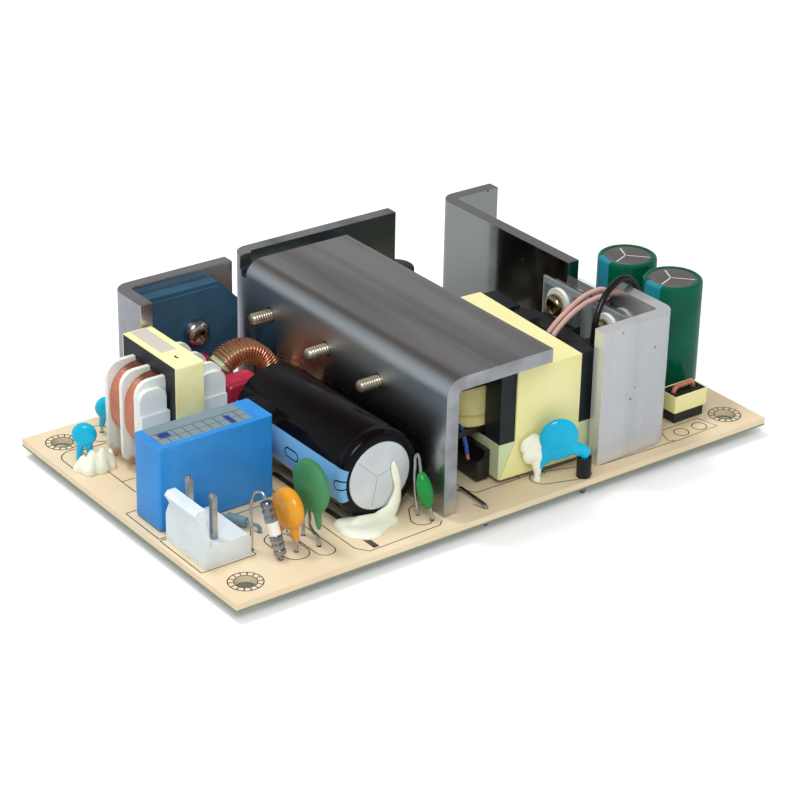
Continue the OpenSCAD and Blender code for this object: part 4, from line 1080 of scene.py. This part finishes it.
sky_coat = coat("sky_coat", rgb(0, 182, 220), rgb(0, 172, 212), 0.14)
front_feet = [(72.3, 5.7), (80.7, 1.9)]
front_disc = piece(
    "front_disc_coat",
    poured(
        [
            (3.95, 0, 8.9, 3.9, 1.3, 3.9), (3.7, 0, 6.4, 3.3, 1.05, 2.5),
            (1.6, 0, 5.2, 1.3, 0.85, 2.0), (0.85, 0, 3.9, 0.85, 0.75, 1.3),
            (0.4, 0, 2.9, 0.6, 0.6, 1.1), (6.8, 0, 6.3, 1.7, 0.95, 1.5),
            (8.3, 0, 5.8, 1.35, 0.95, 1.45), (9.25, 0, 5.2, 1.1, 0.95, 1.25),
            (9.22, 0, 4.5, 0.95, 0.95, 0.9),
        ],
        (*front_feet[0], 0), -24.34,
    ),
    sky_coat, "blue_coat", "front_disc_capacitor", crease=80,
)
tinned(
    "front_disc_legs",
    [
        [(72.3, 5.7, underside), (72.3, 5.7, 0.6), (72.6, 5.56, 2.2)],
        [(80.7, 1.9, underside), (80.7, 1.9, 1), (80.7, 1.9, 4)],
    ],
)
left_disc = dipped(
    "left_disc", "left_disc_capacitor", sky_coat, "blue_coat", 1.2,
    [(3.5, 60.15), (5.5, 58.65)],
)
dipped(
    "corner_disc", "corner_disc_capacitor", sky_coat, "blue_coat", 1.2,
    [(14.3, 69.95), (16.3, 68.45)],
)

# ---- Varistor and thermistor ------------------------------------------------------
# Two more dipped discs beside the fuse: a thick orange one, and a dull green one that
# stands on a pair of bent legs.
orange_coat = coat("orange_coat", rgb(226, 158, 42), rgb(214, 142, 32))
dipped(
    "varistor", "varistor", orange_coat, "orange_coat", 2.2, [(19.1, 9.4), (19.1, 14.4)]
)
green_coat = coat("green_coat", rgb(64, 136, 86), rgb(54, 122, 76), 0.5, 0.02)
piece(
    "thermistor_coat", melted("thermistor", 3.4), green_coat, "green_coat",
    "thermistor", crease=80,
)
tinned(
    "thermistor_legs",
    [
        [
            (23.6, 12, 6.6), (23.4, 11.3, 4.6), (23.2, 10.9, 3.2), (23.2, 10, 2.5),
            (23.4, 8.9, 2), (23.6, 8.45, 1.3), (23.6, 8.7, 0.2), (23.6, 8.7, underside),
        ],
        [(23.6, 13.7, 4.2), (23.6, 13.7, 0.4), (23.6, 13.7, underside)],
    ],
    diameter=0.66,
)

# ---- Bead capacitor ---------------------------------------------------------------
# A small glossy green bead that leans on one short leg. Its other leg comes out of the
# top in an arch and runs down beside it.
bead_coat = coat("bead_coat", rgb(26, 138, 60), rgb(18, 118, 48), 0.08)
bead_foot, bead_head = (46.1, 5.5, 1.9), (45.7, 7.6, 9.1)
bead_run = at(*bead_head) - at(*bead_foot)
bead_l, bead_steps = bead_run.length / mm, 14
shares = [0.04 + 0.92 * i / bead_steps for i in range(bead_steps + 1)]
bead_profile = [
    (0.42 + 1.12 * math.sin(math.pi * share) ** 0.8, bead_l * share) for share in shares
]
bead = turned([(0, 0), *bead_profile, (0, bead_l)], bead_foot, bead_run, 32)
piece("bead_capacitor_coat", bead, bead_coat, "bead_coat", "bead_capacitor", crease=80)
tinned(
    "bead_capacitor_legs",
    [
        [
            (45.7, 7.6, 8.8), (45.65, 7.9, 10.5), (45.55, 8.15, 11.9),
            (45.35, 8.35, 12.4), (45.1, 8.5, 12), (45, 8.5, 10.5), (45, 8.3, 5),
            (45.15, 8, 2), (45.3, 7.8, 0.6), (45.4, 7.8, underside),
        ],
        [(46.3, 4.7, underside), (46.3, 4.7, 0.8), (46.2, 5.2, 2.4)],
    ],
)

# ---- Line capacitors and discharge resistor ---------------------------------------
# Two glossy capacitors dipped in deep red resin, which stand on either side of the
# choke's windings, and a grey blue resistor that empties them.
red_coat = coat("red_coat", rgb(182, 46, 72), rgb(164, 34, 60), 0.1)
dipped(
    "front_line", "front_line_capacitor", red_coat, "red_coat", 1.5,
    [(31.9, 51.6), (36.9, 51.6)], 0.2, 8,
)
dipped(
    "rear_line", "rear_line_capacitor", red_coat, "red_coat", 1.5,
    [(31.7, 66.2), (36.7, 66.2)], 0.2, 8,
)
resistor_coat = coat("resistor_coat", rgb(120, 150, 160), rgb(104, 136, 148), 0.3)
eased(
    "discharge_resistor_coat", "discharge_resistor", resistor_coat, "resistor_coat", 0.2
)

# ---- Line choke -------------------------------------------------------------------
# Two windings of enamelled wire in a white moulded bobbin on a closed ferrite frame,
# which is wrapped in pale yellow tape.
ferrite = finish(
    "ferrite", rgb(27, 33, 39), rgb(21, 27, 32), 0.46, relief=0.02, grain=1400.0
)
dress("choke_core", ferrite)
yellow_tape = finish(
    "yellow_tape", rgb(238, 233, 170), rgb(231, 226, 158), 0.34, relief=0.006,
    patches=70.0, grain=900.0,
)
choke_tape = marked(yellow_tape, "choke_tape")
tree = choke_tape.node_tree
skin = tree.nodes["skin"].inputs
skin["Colour"].default_value = rgb(250, 245, 182)
skin["Second Colour"].default_value = rgb(246, 238, 168)
x, y = measured(tree, "xy")
tape_up = eased_step(tree, facing(tree)["Z"], 0.5, 0.8)
sticker = times(tree, tape_up, on_label(tree, x, y, 17.7, 21.2, 52.3, 63.6))
tint(choke_tape, sticker, rgb(200, 194, 182), 0.6)
from_hole = distance(
    tree, maths(tree, "SUBTRACT", x, 19.7), maths(tree, "SUBTRACT", y, 49.3)
)
crescent = times(
    tree, tape_up, within(tree, from_hole, 0.35, 0.85), eased_step(tree, x, 19.6, 19.3)
)
tint(choke_tape, crescent, rgb(40, 38, 30))
stain = times(
    tree,
    eased_step(tree, noise(tree, 130.0), 0.5, 0.66),
    0.5,
    eased_step(tree, facing(tree)["Y"], -0.6, -0.9),
)
tint(choke_tape, stain, rgb(232, 206, 96))
eased("choke_tape_wrap", "choke_tape", choke_tape, "yellow_tape", 0.6, 4)
white_moulding = finish(
    "white_moulding", rgb(236, 238, 232), rgb(224, 228, 222), 0.4, relief=0.008
)
stained_moulding = marked(white_moulding, "stained_moulding")
tree = stained_moulding.node_tree
[z] = measured(tree, "z")
run_height = maths(tree, "ADD", z, times(tree, noise(tree, 420.0), 5.0))
stain = times(tree, eased_step(tree, run_height, 5.4, 3.6), 0.75)
tint(stained_moulding, stain, rgb(176, 116, 62), 0.3)
eased(
    "choke_bobbin_moulding", "choke_bobbin", stained_moulding, "white_moulding", 0.3, 3
)
copper = finish(
    "enamelled_copper", rgb(214, 134, 104), rgb(200, 118, 88), 0.3, relief=0.002,
    patches=260.0, metallic=0.3, coat_weight=0.5, coat_roughness=0.12,
)
coil_wire, coil_low, coil_high = 0.5, Vector((10.3, 4.4)), Vector((28.7, 19.4))
inset = coil_wire / 2
coil_outline = stadium(
    coil_low.x + inset, coil_low.y + inset, coil_high.x - inset, coil_high.y - inset,
    6 - inset,
)
coil_runs = []
for first_y, last_y in ((49.95, 54.15), (55.25, 59.45)):
    count = int((last_y - first_y) / coil_wire)
    step = (last_y - first_y - coil_wire) / (count - 1)
    for i in range(count):
        coil_runs.append(
            [(cx, first_y + inset + step * i, cz) for cx, cz in coil_outline]
        )
tree = copper.node_tree
[z] = measured(tree, "z")
varnish = maths(
    tree, "MAXIMUM", eased_step(tree, z, 17.2, 19.0), eased_step(tree, z, 6.4, 5.0)
)
tint(copper, times(tree, varnish, 0.85), rgb(96, 52, 16), 0.12)
piece(
    "choke_windings_wire",
    curve_mesh(
        "choke_windings_wire", coil_runs, closed=True, bevel_depth=coil_wire * mm / 2,
        bevel_resolution=1,
    ),
    copper, "copper", "choke_windings", crease=60,
)

# ---- Toroid -----------------------------------------------------------------------
# A pale green iron powder ring stood on edge, wound with fifty turns of enamelled copper
# wire. The wire's two ends go down into the board.
ring_paint = finish("ring_paint", rgb(190, 206, 162), rgb(176, 194, 148), 0.4)
eased("toroid_ring", "toroid_core", ring_paint, "pale_ring", 0)
toroid_centre, toroid_wire, toroid_turns = (39.4, 58.7, 8.95), 0.6, 50
toroid_in, toroid_out, toroid_half = 4.95, 7.85, 2.35
loop_steps, winding_slack = 16, 0.03
start_angle, end_angle = math.radians(-70), math.radians(250)


def spread(share):
    """How far round the ring a turn is: the turns are wider apart on one stretch."""
    wide_from, wide_to, wide_by = 0.68, 0.8, 1.9
    run = (
        min(share, wide_from)
        + max(0, min(share, wide_to) - wide_from) * wide_by
        + max(0, share - wide_to)
    )
    return run / (1 + (wide_to - wide_from) * (wide_by - 1))


def wound(step):
    """A place on the wire, which goes once round the ring's section in each turn."""
    angle = start_angle + (end_angle - start_angle) * spread(
        step / (toroid_turns * loop_steps)
    )
    turn = math.tau * step / loop_steps
    c, s = math.cos(turn), math.sin(turn)
    proud = toroid_wire / 2 + winding_slack
    half = (toroid_out - toroid_in) / 2 + proud
    radius = (toroid_out + toroid_in) / 2 + half * math.copysign(abs(c) ** 0.5, c)
    side = (toroid_half + proud) * math.copysign(abs(s) ** 0.5, s)
    return (
        toroid_centre[0] + radius * math.cos(angle), toroid_centre[1] - side,
        toroid_centre[2] + radius * math.sin(angle),
    )


winding_path = [wound(i) for i in range(toroid_turns * loop_steps + 1)]
(first_x, first_y, _), (last_x, last_y, _) = winding_path[0], winding_path[-1]
winding_path = (
    [(first_x, first_y, underside), (first_x, first_y, 0.2)]
    + winding_path
    + [(last_x, last_y, 0.2), (last_x, last_y, underside)]
)
toroid_copper = finish(
    "toroid_copper", rgb(238, 164, 122), rgb(216, 136, 92), 0.12, relief=0.002,
    patches=300.0, metallic=0.8, coat_weight=1.0, coat_roughness=0.04,
)
piece(
    "toroid_wire",
    curve_mesh(
        "toroid_wire", [winding_path], bevel_depth=toroid_wire * mm / 2,
        bevel_resolution=2,
    ),
    toroid_copper, "copper", "toroid_winding", crease=60,
)

# ---- Transformer ------------------------------------------------------------------
# A ferrite E core round a black bobbin. Yellow tape holds the core together, paler
# tape goes round its foot, and the winding is covered in creased tape.
core_place, core_degrees = (75.9, 8.0), -3.0


def on_core(shape):
    """Turns a shape drawn from the middle of the core's front to where the core is."""
    turn_to = Matrix.Rotation(math.radians(core_degrees), 4, "Z")
    return moved(shape, Matrix.Translation(at(*core_place, 0)) @ turn_to)


core_shape = joined("transformer_core")
for low_y, high_y, depth in ((4.6, 17.6, 2.2), (22.6, 24.2, 2.0)):
    step_cutter = block(7.75, low_y, 23 - depth, 12, high_y, 24)
    core_shape = carved(core_shape, on_core(step_cutter))
piece(
    "transformer_ferrite", core_shape, ferrite, "ferrite", "transformer_core", crease=25
)
primary_d, primary_tip_d = 0.9, 0.7
primary_tip = finish("primary_tip", rgb(196, 110, 96), rgb(176, 88, 74), 0.3)
primary_blue = coat("primary_blue", rgb(44, 84, 168), rgb(34, 70, 148), 0.25)
piece(
    "primary_wire",
    legs(
        [[(61.2, 17.5, 10.9), (61, 15.2, 10.2), (60.9, 13.8, 8), (61, 13.2, 5.8)]],
        primary_d,
    ),
    primary_blue, "black_moulding",
)
piece(
    "primary_wire_end",
    legs([[(61, 13.2, 5.7), (61.05, 13.05, 5.2), (61.1, 12.95, 4.75)]], primary_tip_d),
    primary_tip, "copper",
)
black_moulding = finish(
    "black_moulding", rgb(20, 20, 22), rgb(15, 15, 17), 0.26, relief=0.006
)
eased(
    "transformer_bobbin_moulding", "transformer_bobbin", black_moulding,
    "black_moulding", 0.2,
)
eased("transformer_pins_tin", "transformer_pins", tin, "pin", 0.08)
eased("transformer_band_wrap", "transformer_band", yellow_tape, "yellow_tape", 0.7, 4)
pale_tape = finish("pale_tape", rgb(208, 218, 176), rgb(198, 210, 166), 0.32)
eased("transformer_foot_tape", "transformer_tape", pale_tape, "pale_tape", 0.3, 3)
creased_tape = finish(
    "creased_tape", rgb(230, 220, 150), rgb(214, 202, 128), 0.36, relief=0.006
)
tree = creased_tape.node_tree
folds = noise(tree, (60.0, 60.0, 900.0), 3.0)
tint(creased_tape, eased_step(tree, folds, 0.55, 0.75), rgb(186, 172, 96))
raise_surface(creased_tape, folds, 0.3)
eased(
    "transformer_winding_tape", "transformer_winding", creased_tape, "yellow_tape", 0.5,
    3,
)

# ---- Output rectifiers ------------------------------------------------------------
# Two moulded packages on a grey insulating strip, screwed through white bushes to the
# folded heatsink.
eased("output_packages", "output_rectifiers", tabbed_resin, "package", 0.12)
dress("output_pad", grey_pad)
eased("output_bushes_moulding", "output_bushes", white_moulding, "white_moulding", 0.12)
brass_screw = finish(
    "brass_screw", rgb(206, 186, 142), rgb(150, 138, 118), 0.16, relief=0.003,
    metallic=1.0, patches=400.0,
)
piece(
    "output_screws_plated",
    gathered(
        *[
            crossed_screw(
                (98.8, screw_y, 19.9), (-1, 0, 0), turn, head_r=2.3, head_h=1.9,
                shank_r=1.42, shank_l=5.3,
            )
            for screw_y, turn in ((18.3, 24), (33, 58))
        ],
    ),
    brass_screw, "brass_screw", "output_screws", crease=40,
)

# ---- Secondary leads --------------------------------------------------------------
# Soft insulated wires that leave the transformer, loop over the output heatsink and go
# down into the board behind it: a pink pair, and a black one that is thicker.
pink_lead = finish(
    "pink_lead", rgb(206, 170, 172), rgb(204, 158, 140), 0.34, patches=300.0
)
black_wire = finish("black_wire", rgb(24, 24, 26), rgb(18, 18, 20), 0.24)
pink_routes = [
    [
        (88.4, 21.8, 19.65), (89.3, 22, 20.4), (90.9, 22.1, 21.6), (93.2, 22.2, 23),
        (96, 22.3, 24.2), (98.8, 22.35, 24.8), (101.4, 22.4, 24.9), (103.7, 22.4, 24.7),
        (105.6, 22.4, 23.5), (106.9, 22.4, 21), (107.2, 22.4, 17),
        (107.2, 22.4, underside),
    ],
    [
        (88.4, 23.4, 19.65), (89.3, 23.5, 20.4), (90.9, 23.7, 21.5), (93.2, 23.9, 22.8),
        (96, 24.3, 24), (98.8, 24.7, 24.8), (101.4, 25.05, 24.95), (103.7, 25.2, 24.8),
        (105.6, 25.2, 23.6), (106.9, 25.2, 21), (107.2, 25.2, 17),
        (107.2, 25.2, underside),
    ],
]
black_route = [
    (92.95, 17, 13.5), (93.6, 17, 13.6), (94.1, 16.9, 14.4), (94.2, 16.6, 17),
    (94.2, 16.3, 21), (94.5, 16.2, 24), (95.6, 16.6, 26.2), (97.6, 17.2, 28.2),
    (100.2, 17.8, 29.5), (102.8, 18.2, 29.97), (105, 18.2, 29), (106.4, 17.8, 27),
    (106.9, 17.6, 23.6), (106.9, 17.6, 14), (106.9, 17.6, underside),
]
pink_d, black_d = 1.08, 1.3
piece(
    "secondary_lead_pair", legs(pink_routes, pink_d), pink_lead, "pink_lead",
    "secondary_leads", crease=60,
)
piece(
    "return_lead", legs([black_route], black_d), black_wire, "black_wire", "black_lead",
    crease=60,
)

# ---- Output capacitors ------------------------------------------------------------
# Two upright cans in dark green sleeves with a paler stripe. The bare tops carry a
# three way vent score.
green_sleeve = finish(
    "green_sleeve", rgb(0, 92, 68), rgb(0, 80, 58), 0.13, relief=0.003,
    specular_ior_level=0.3,
)
cap_x, cap_places, cap_h = 117.7, (19.8, 33.5), 26.0
tree = green_sleeve.node_tree
x, y = measured(tree, "xy")
for cap_y, low, high in ((cap_places[0], 163.0, 204.0), (cap_places[1], 148.0, 190.0)):
    # the angle is taken from the left of the can, so that it doesn't jump in the stripe
    angle = bearing(
        tree, maths(tree, "SUBTRACT", cap_y, y), maths(tree, "SUBTRACT", cap_x, x)
    )
    near = within(tree, y, cap_y - 6.5, cap_y + 6.5, 0.01)
    stripe = times(tree, near, within(tree, angle, low - 180, high - 180, 0.6))
    tint(green_sleeve, stripe, rgb(28, 132, 150), 0.22)
sleeves, cans, scores = [], [], []
vent = [(-0.3, 0.3), (1.2, 3.6), (3.0, -3.2), (-3.9, -1.1)]
for cap_y in cap_places:
    sleeves.append(
        turned(
            [
                (4.75, cap_h - 0.32), (4.8, cap_h - 0.06), (5.1, cap_h),
                (5.6, cap_h - 0.04), (5.95, cap_h - 0.3), (6.1, cap_h - 0.75),
                (6.1, 4.2), (5.92, 3.6), (5.8, 3.1), (5.92, 2.6), (6.1, 2.0),
                (6.1, 0.5), (5.85, 0.05), (5.2, 0.0), (5.1, 0.1), (5.5, 0.4),
                (5.5, cap_h - 1.0), (4.75, cap_h - 0.32),
            ],
            (cap_x, cap_y, 0), (0, 0, 1), 72,
        ),
    )
    cans.append(
        moved(
            scored_end(4.72, 1.2, vent, groove=0.34, depth=0.12),
            Matrix.Translation(at(cap_x, cap_y, cap_h - 0.12)),
        ),
    )
    for tip in vent[1:]:
        scores.append(
            moved(
                score_blade(vent[0], tip, 0.26, 0.04),
                Matrix.Translation(at(cap_x, cap_y, cap_h - 0.19)),
            ),
        )
piece(
    "output_sleeves_skin", gathered(*sleeves), green_sleeve, "green_sleeve",
    "output_sleeves",
)
dull_top = finish(
    "dull_top", rgb(176, 172, 168), rgb(158, 154, 150), 0.34, relief=0.004, spread=0.2,
    metallic=0.9,
)
piece("output_can_tops", gathered(*cans), dull_top, "can", crease=25)
bright_score = finish(
    "bright_score", rgb(244, 240, 238), rgb(232, 226, 224), 0.5, metallic=0.2
)
piece("output_can_scores", gathered(*scores), bright_score, "can", crease=25)
eased("output_cans", "output_capacitors", bare_can, "can", 0.1)

# ---- Output choke -----------------------------------------------------------------
# A small ferrite block with a loop of thick enamelled wire through it, and a band of
# yellow tape round both.
eased("output_choke_block", "output_choke_core", ferrite, "ferrite", 0.2)
eased("output_choke_tape", "output_choke_band", yellow_tape, "yellow_tape", 0.3)
eased("output_choke_wire", "output_choke_winding", copper, "copper", 0)

# ---- Small parts ------------------------------------------------------------------
# A bare wire link, a leg in a black sleeve, a small black can, and two moulded chips at
# the back of the board.
eased("jumper_link", "jumper_wire", tin, "pin", 0)
eased("leg_sleeve", "lead_sleeve", black_moulding, "black_moulding", 0.1)
can_shape = joined("auxiliary_capacitor")
shoulder, can_top = at(0, 0, 20).z, at(0, 0, 22).z
for vert in can_shape.verts:
    if vert.co.z > shoulder:
        vert.co.z = can_top
can_rims = [edge for edge in can_shape.edges if edge.calc_face_angle(0) > 0.9]
bmesh.ops.bevel(
    can_shape,
    geom=[edge for edge in can_rims if edge.verts[0].co.z > shoulder],
    offset=0.5 * mm, segments=4, profile=0.5, affect="EDGES", material=-1,
)
piece(
    "auxiliary_can", can_shape, black_moulding, "black_moulding", "auxiliary_capacitor",
    crease=40,
)
eased("optocoupler_package", "optocoupler", black_resin, "package", 0.1)
eased("control_package", "control_chip", black_resin, "package", 0.1)

# ---- Fixing glue ------------------------------------------------------------------
# Off white hot glue, poured in lumps round the feet of the reservoir capacitor and of two
# of the blue discs. It lies on the board and stops at the parts that it holds.
glue = finish(
    "glue", rgb(240, 242, 224), rgb(228, 232, 206), 0.3, relief=0.03, patches=220.0,
    grain=700.0,
)


def poured_glue(name, blobs, *cutters, nodes=()):
    """Glue that lies on the board and stops at the parts it holds."""
    shape = poured(blobs, fineness=0.15, rounds=10, links=4)
    for cutter in (block(0, 0, -6, 130, 80, 0.02), *cutters):
        shape = carved(shape, cutter)
    return piece(name, shape, glue, "glue", *nodes, crease=60)


def leg_cutter(x, y, high):
    """The room that a leg of a blue disc takes, up to a height."""
    low, radius = -2, 0.34
    return turned(
        [(0, low), (radius, low), (radius, high), (0, high)], (x, y, 0), segments=24
    )


poured_glue(
    "reservoir_glue",
    [
        (31.2, 9.4, 0.0, 2.2, 2.6, 1.3), (33.8, 8.0, 0.0, 3.3, 3.2, 1.2),
        (36.8, 8.6, 0.0, 3.4, 2.0, 1.1), (39.4, 8.8, 0.0, 2.2, 1.6, 0.9),
        (31.0, 11.6, 0.2, 1.7, 2.0, 1.6), (33.6, 9.9, 1.0, 2.6, 0.9, 1.5),
        (37.4, 9.9, 0.8, 2.6, 0.9, 1.0), (40.7, 9.8, 1.6, 1.5, 0.8, 1.5),
        (42.0, 10.0, 3.6, 1.0, 0.6, 1.9), (42.4, 10.15, 6.0, 0.7, 0.5, 2.2),
        (41.9, 10.25, 8.4, 0.8, 0.42, 1.9), (41.4, 10.3, 10.2, 0.65, 0.36, 1.3),
    ],
    turned(
        [(0, 0), (bulk_r + 0.02, 0), (bulk_r + 0.02, 30), (0, 30)],
        (bulk_axis[0], bulk_front - 0.02, bulk_axis[1]),
        (0, 1, 0), 96,
    ),
    nodes=("adhesive",),
)
poured_glue(
    "disc_glue",
    [
        (70.4, 6.9, 7.4, 1.6, 0.8, 1.7), (71.7, 6.7, 8.1, 1.6, 0.8, 1.6),
        (72.9, 6.3, 7.2, 1.4, 1.0, 1.7), (71.2, 6.6, 5.6, 1.9, 0.9, 2.2),
        (73.0, 6.0, 5.0, 1.2, 1.1, 1.8), (72.4, 6.0, 3.4, 1.2, 0.95, 1.5),
        (72.3, 5.7, 2.1, 0.8, 0.75, 1.2), (72.2, 5.6, 0.9, 0.58, 0.58, 1.1),
        (72.2, 5.6, 0.1, 0.95, 0.8, 0.35),
    ],
    on_core(block(-20, -0.53, -2, 20, 10, 20)), shape_of(front_disc.data),
    leg_cutter(72.3, 5.7, 2.4),
)
poured_glue(
    "left_glue",
    [
        (2.3, 58.6, 0.3, 0.9, 0.9, 1.2), (3.0, 57.6, 1.2, 1.0, 1.1, 2.3),
        (3.6, 56.4, 0.6, 1.5, 1.5, 1.7), (4.9, 57.2, 2.0, 1.3, 1.2, 2.4),
        (6.0, 56.0, 0.6, 1.7, 1.5, 1.9), (6.6, 56.6, 2.4, 1.1, 1.0, 2.2),
        (8.4, 56.4, 0.6, 0.9, 1.3, 2.0), (8.8, 57.2, 1.8, 0.5, 0.9, 1.7),
    ],
    shape_of(left_disc.data), leg_cutter(3.5, 60.15, 3), leg_cutter(5.5, 58.65, 3),
)

# ---- Studio -----------------------------------------------------------------------
# A white table that keeps the soft shadow, a large soft lamp over the front left and a
# smaller one over the back, and a dim room that only shiny surfaces see.
white = (1, 1, 1, 1)


def table_paper():
    """A plain paper white for the table, lifted where the camera looks at it."""
    material = bpy.data.materials.new("white_table")
    tree = bare_tree(material)
    dim = shader_node(tree, "LightPath").outputs["Is Glossy Ray"]
    shade = mixed(tree, dim, (0.86, 0.86, 0.86, 1), (0.42, 0.44, 0.46, 1))
    paper = shader_node(tree, "BsdfDiffuse", {"Color": shade})
    lift = shader_node(tree, "Emission", {"Color": white, "Strength": 0.14})
    none = shader_node(tree, "Emission", {"Strength": 0.0})
    seen = shader_node(tree, "LightPath").outputs["Is Camera Ray"]
    choice = shader_node(
        tree, "MixShader", {0: seen, 1: none.outputs[0], 2: lift.outputs[0]}
    )
    both = shader_node(tree, "AddShader", {0: paper.outputs[0], 1: choice.outputs[0]})
    shader_node(tree, "OutputMaterial", {"Surface": both.outputs[0]})
    return material


table_half, table_gap = 3.0, 0.0001
table_shape = bmesh.new()
bmesh.ops.create_grid(table_shape, x_segments=1, y_segments=1, size=table_half)
bmesh.ops.translate(
    table_shape, vec=(0, 0, cad_box[0].z - table_gap), verts=table_shape.verts
)
table = shown("table", table_shape)
table.data.materials.append(table_paper())

scene = bpy.context.scene
scene.view_settings.view_transform = "Standard"
world = bpy.data.worlds.new("studio")
scene.world = world
tree = bare_tree(world)
path = shader_node(tree, "LightPath").outputs
seen = maths(
    tree, "MAXIMUM", path["Is Camera Ray"],
    maths(tree, "MAXIMUM", path["Is Glossy Ray"], path["Is Transmission Ray"]),
)
sky = shader_node(
    tree, "Background", {"Color": white, "Strength": mixed_value(tree, seen, 0.72, 1.0)}
)
shader_node(tree, "OutputWorld", {"Surface": sky.outputs[0]})


def softbox(name, place, power, size):
    """A square lamp aimed at the middle of the board."""
    lamp = bpy.data.lights.new(name, "AREA")
    lamp.energy, lamp.size = power, size
    made = shown(name, lamp)
    made.location = place
    made.rotation_mode = "QUATERNION"
    made.rotation_quaternion = (-Vector(place)).to_track_quat("-Z", "Y")
    return made


softbox("key", (-0.35, -0.45, 0.62), power=2.5, size=0.36)
back_lamp = softbox("back", (-0.14, 0.26, 0.8), power=2.7, size=0.2)
back_lamp.visible_glossy = False


def reflected_room(radius):
    """A dim room that only shiny surfaces see: pale at the level of the table and to the
    left, dark above."""
    shape = bmesh.new()
    bmesh.ops.create_uvsphere(shape, u_segments=48, v_segments=24, radius=radius)
    bmesh.ops.bisect_plane(
        shape,
        geom=shape.verts[:] + shape.edges[:] + shape.faces[:],
        plane_co=(0, 0, -0.01), plane_no=(0, 0, -1), clear_outer=True,
    )
    room = shown("room", shape)
    material = bpy.data.materials.new("room")
    room.data.materials.append(material)
    tree = bare_tree(material)
    place = shader_node(tree, "SeparateXYZ", {"Vector": own_place(tree)}).outputs
    rise = eased_step(tree, place["Z"], 0.02 * radius, 0.62 * radius)
    left = eased_step(tree, place["X"], 0.05 * radius, -0.5 * radius)
    above = mixed(tree, left, (0.138, 0.12, 0.112, 1), (0.36, 0.39, 0.41, 1))
    walls = shader_node(
        tree, "Emission", {"Color": mixed(tree, rise, (0.56, 0.58, 0.6, 1), above)}
    )
    shader_node(tree, "OutputMaterial", {"Surface": walls.outputs[0]})
    room.visible_camera = room.visible_diffuse = room.visible_shadow = False
    room.visible_transmission = False


reflected_room(radius=2.4)

# ---- Camera -----------------------------------------------------------------------
# A long lens that looks at the board from its front left corner and well above it, and
# is turned about its own line of sight by a degree.
azimuth, elevation, roll = (math.radians(a) for a in (-37.1936, 26.4661, 1.2229))
level = math.cos(elevation)
back = Vector(
    (math.sin(azimuth) * level, -math.cos(azimuth) * level, math.sin(elevation))
)
right = Vector((math.cos(azimuth), math.sin(azimuth), 0))
up = back.cross(right)
lens = bpy.data.cameras.new("camera")
lens.sensor_width, lens.lens = 36, 112.24
camera = shown("camera", lens)
rolled_right = right * math.cos(roll) + up * math.sin(roll)
rolled_up = up * math.cos(roll) - right * math.sin(roll)
axes = Matrix((rolled_right, rolled_up, back)).transposed()
eye = at(-202.7204, -312.9053, 225.5594)
camera.matrix_world = Matrix.Translation(eye) @ axes.to_4x4()
scene.camera = camera
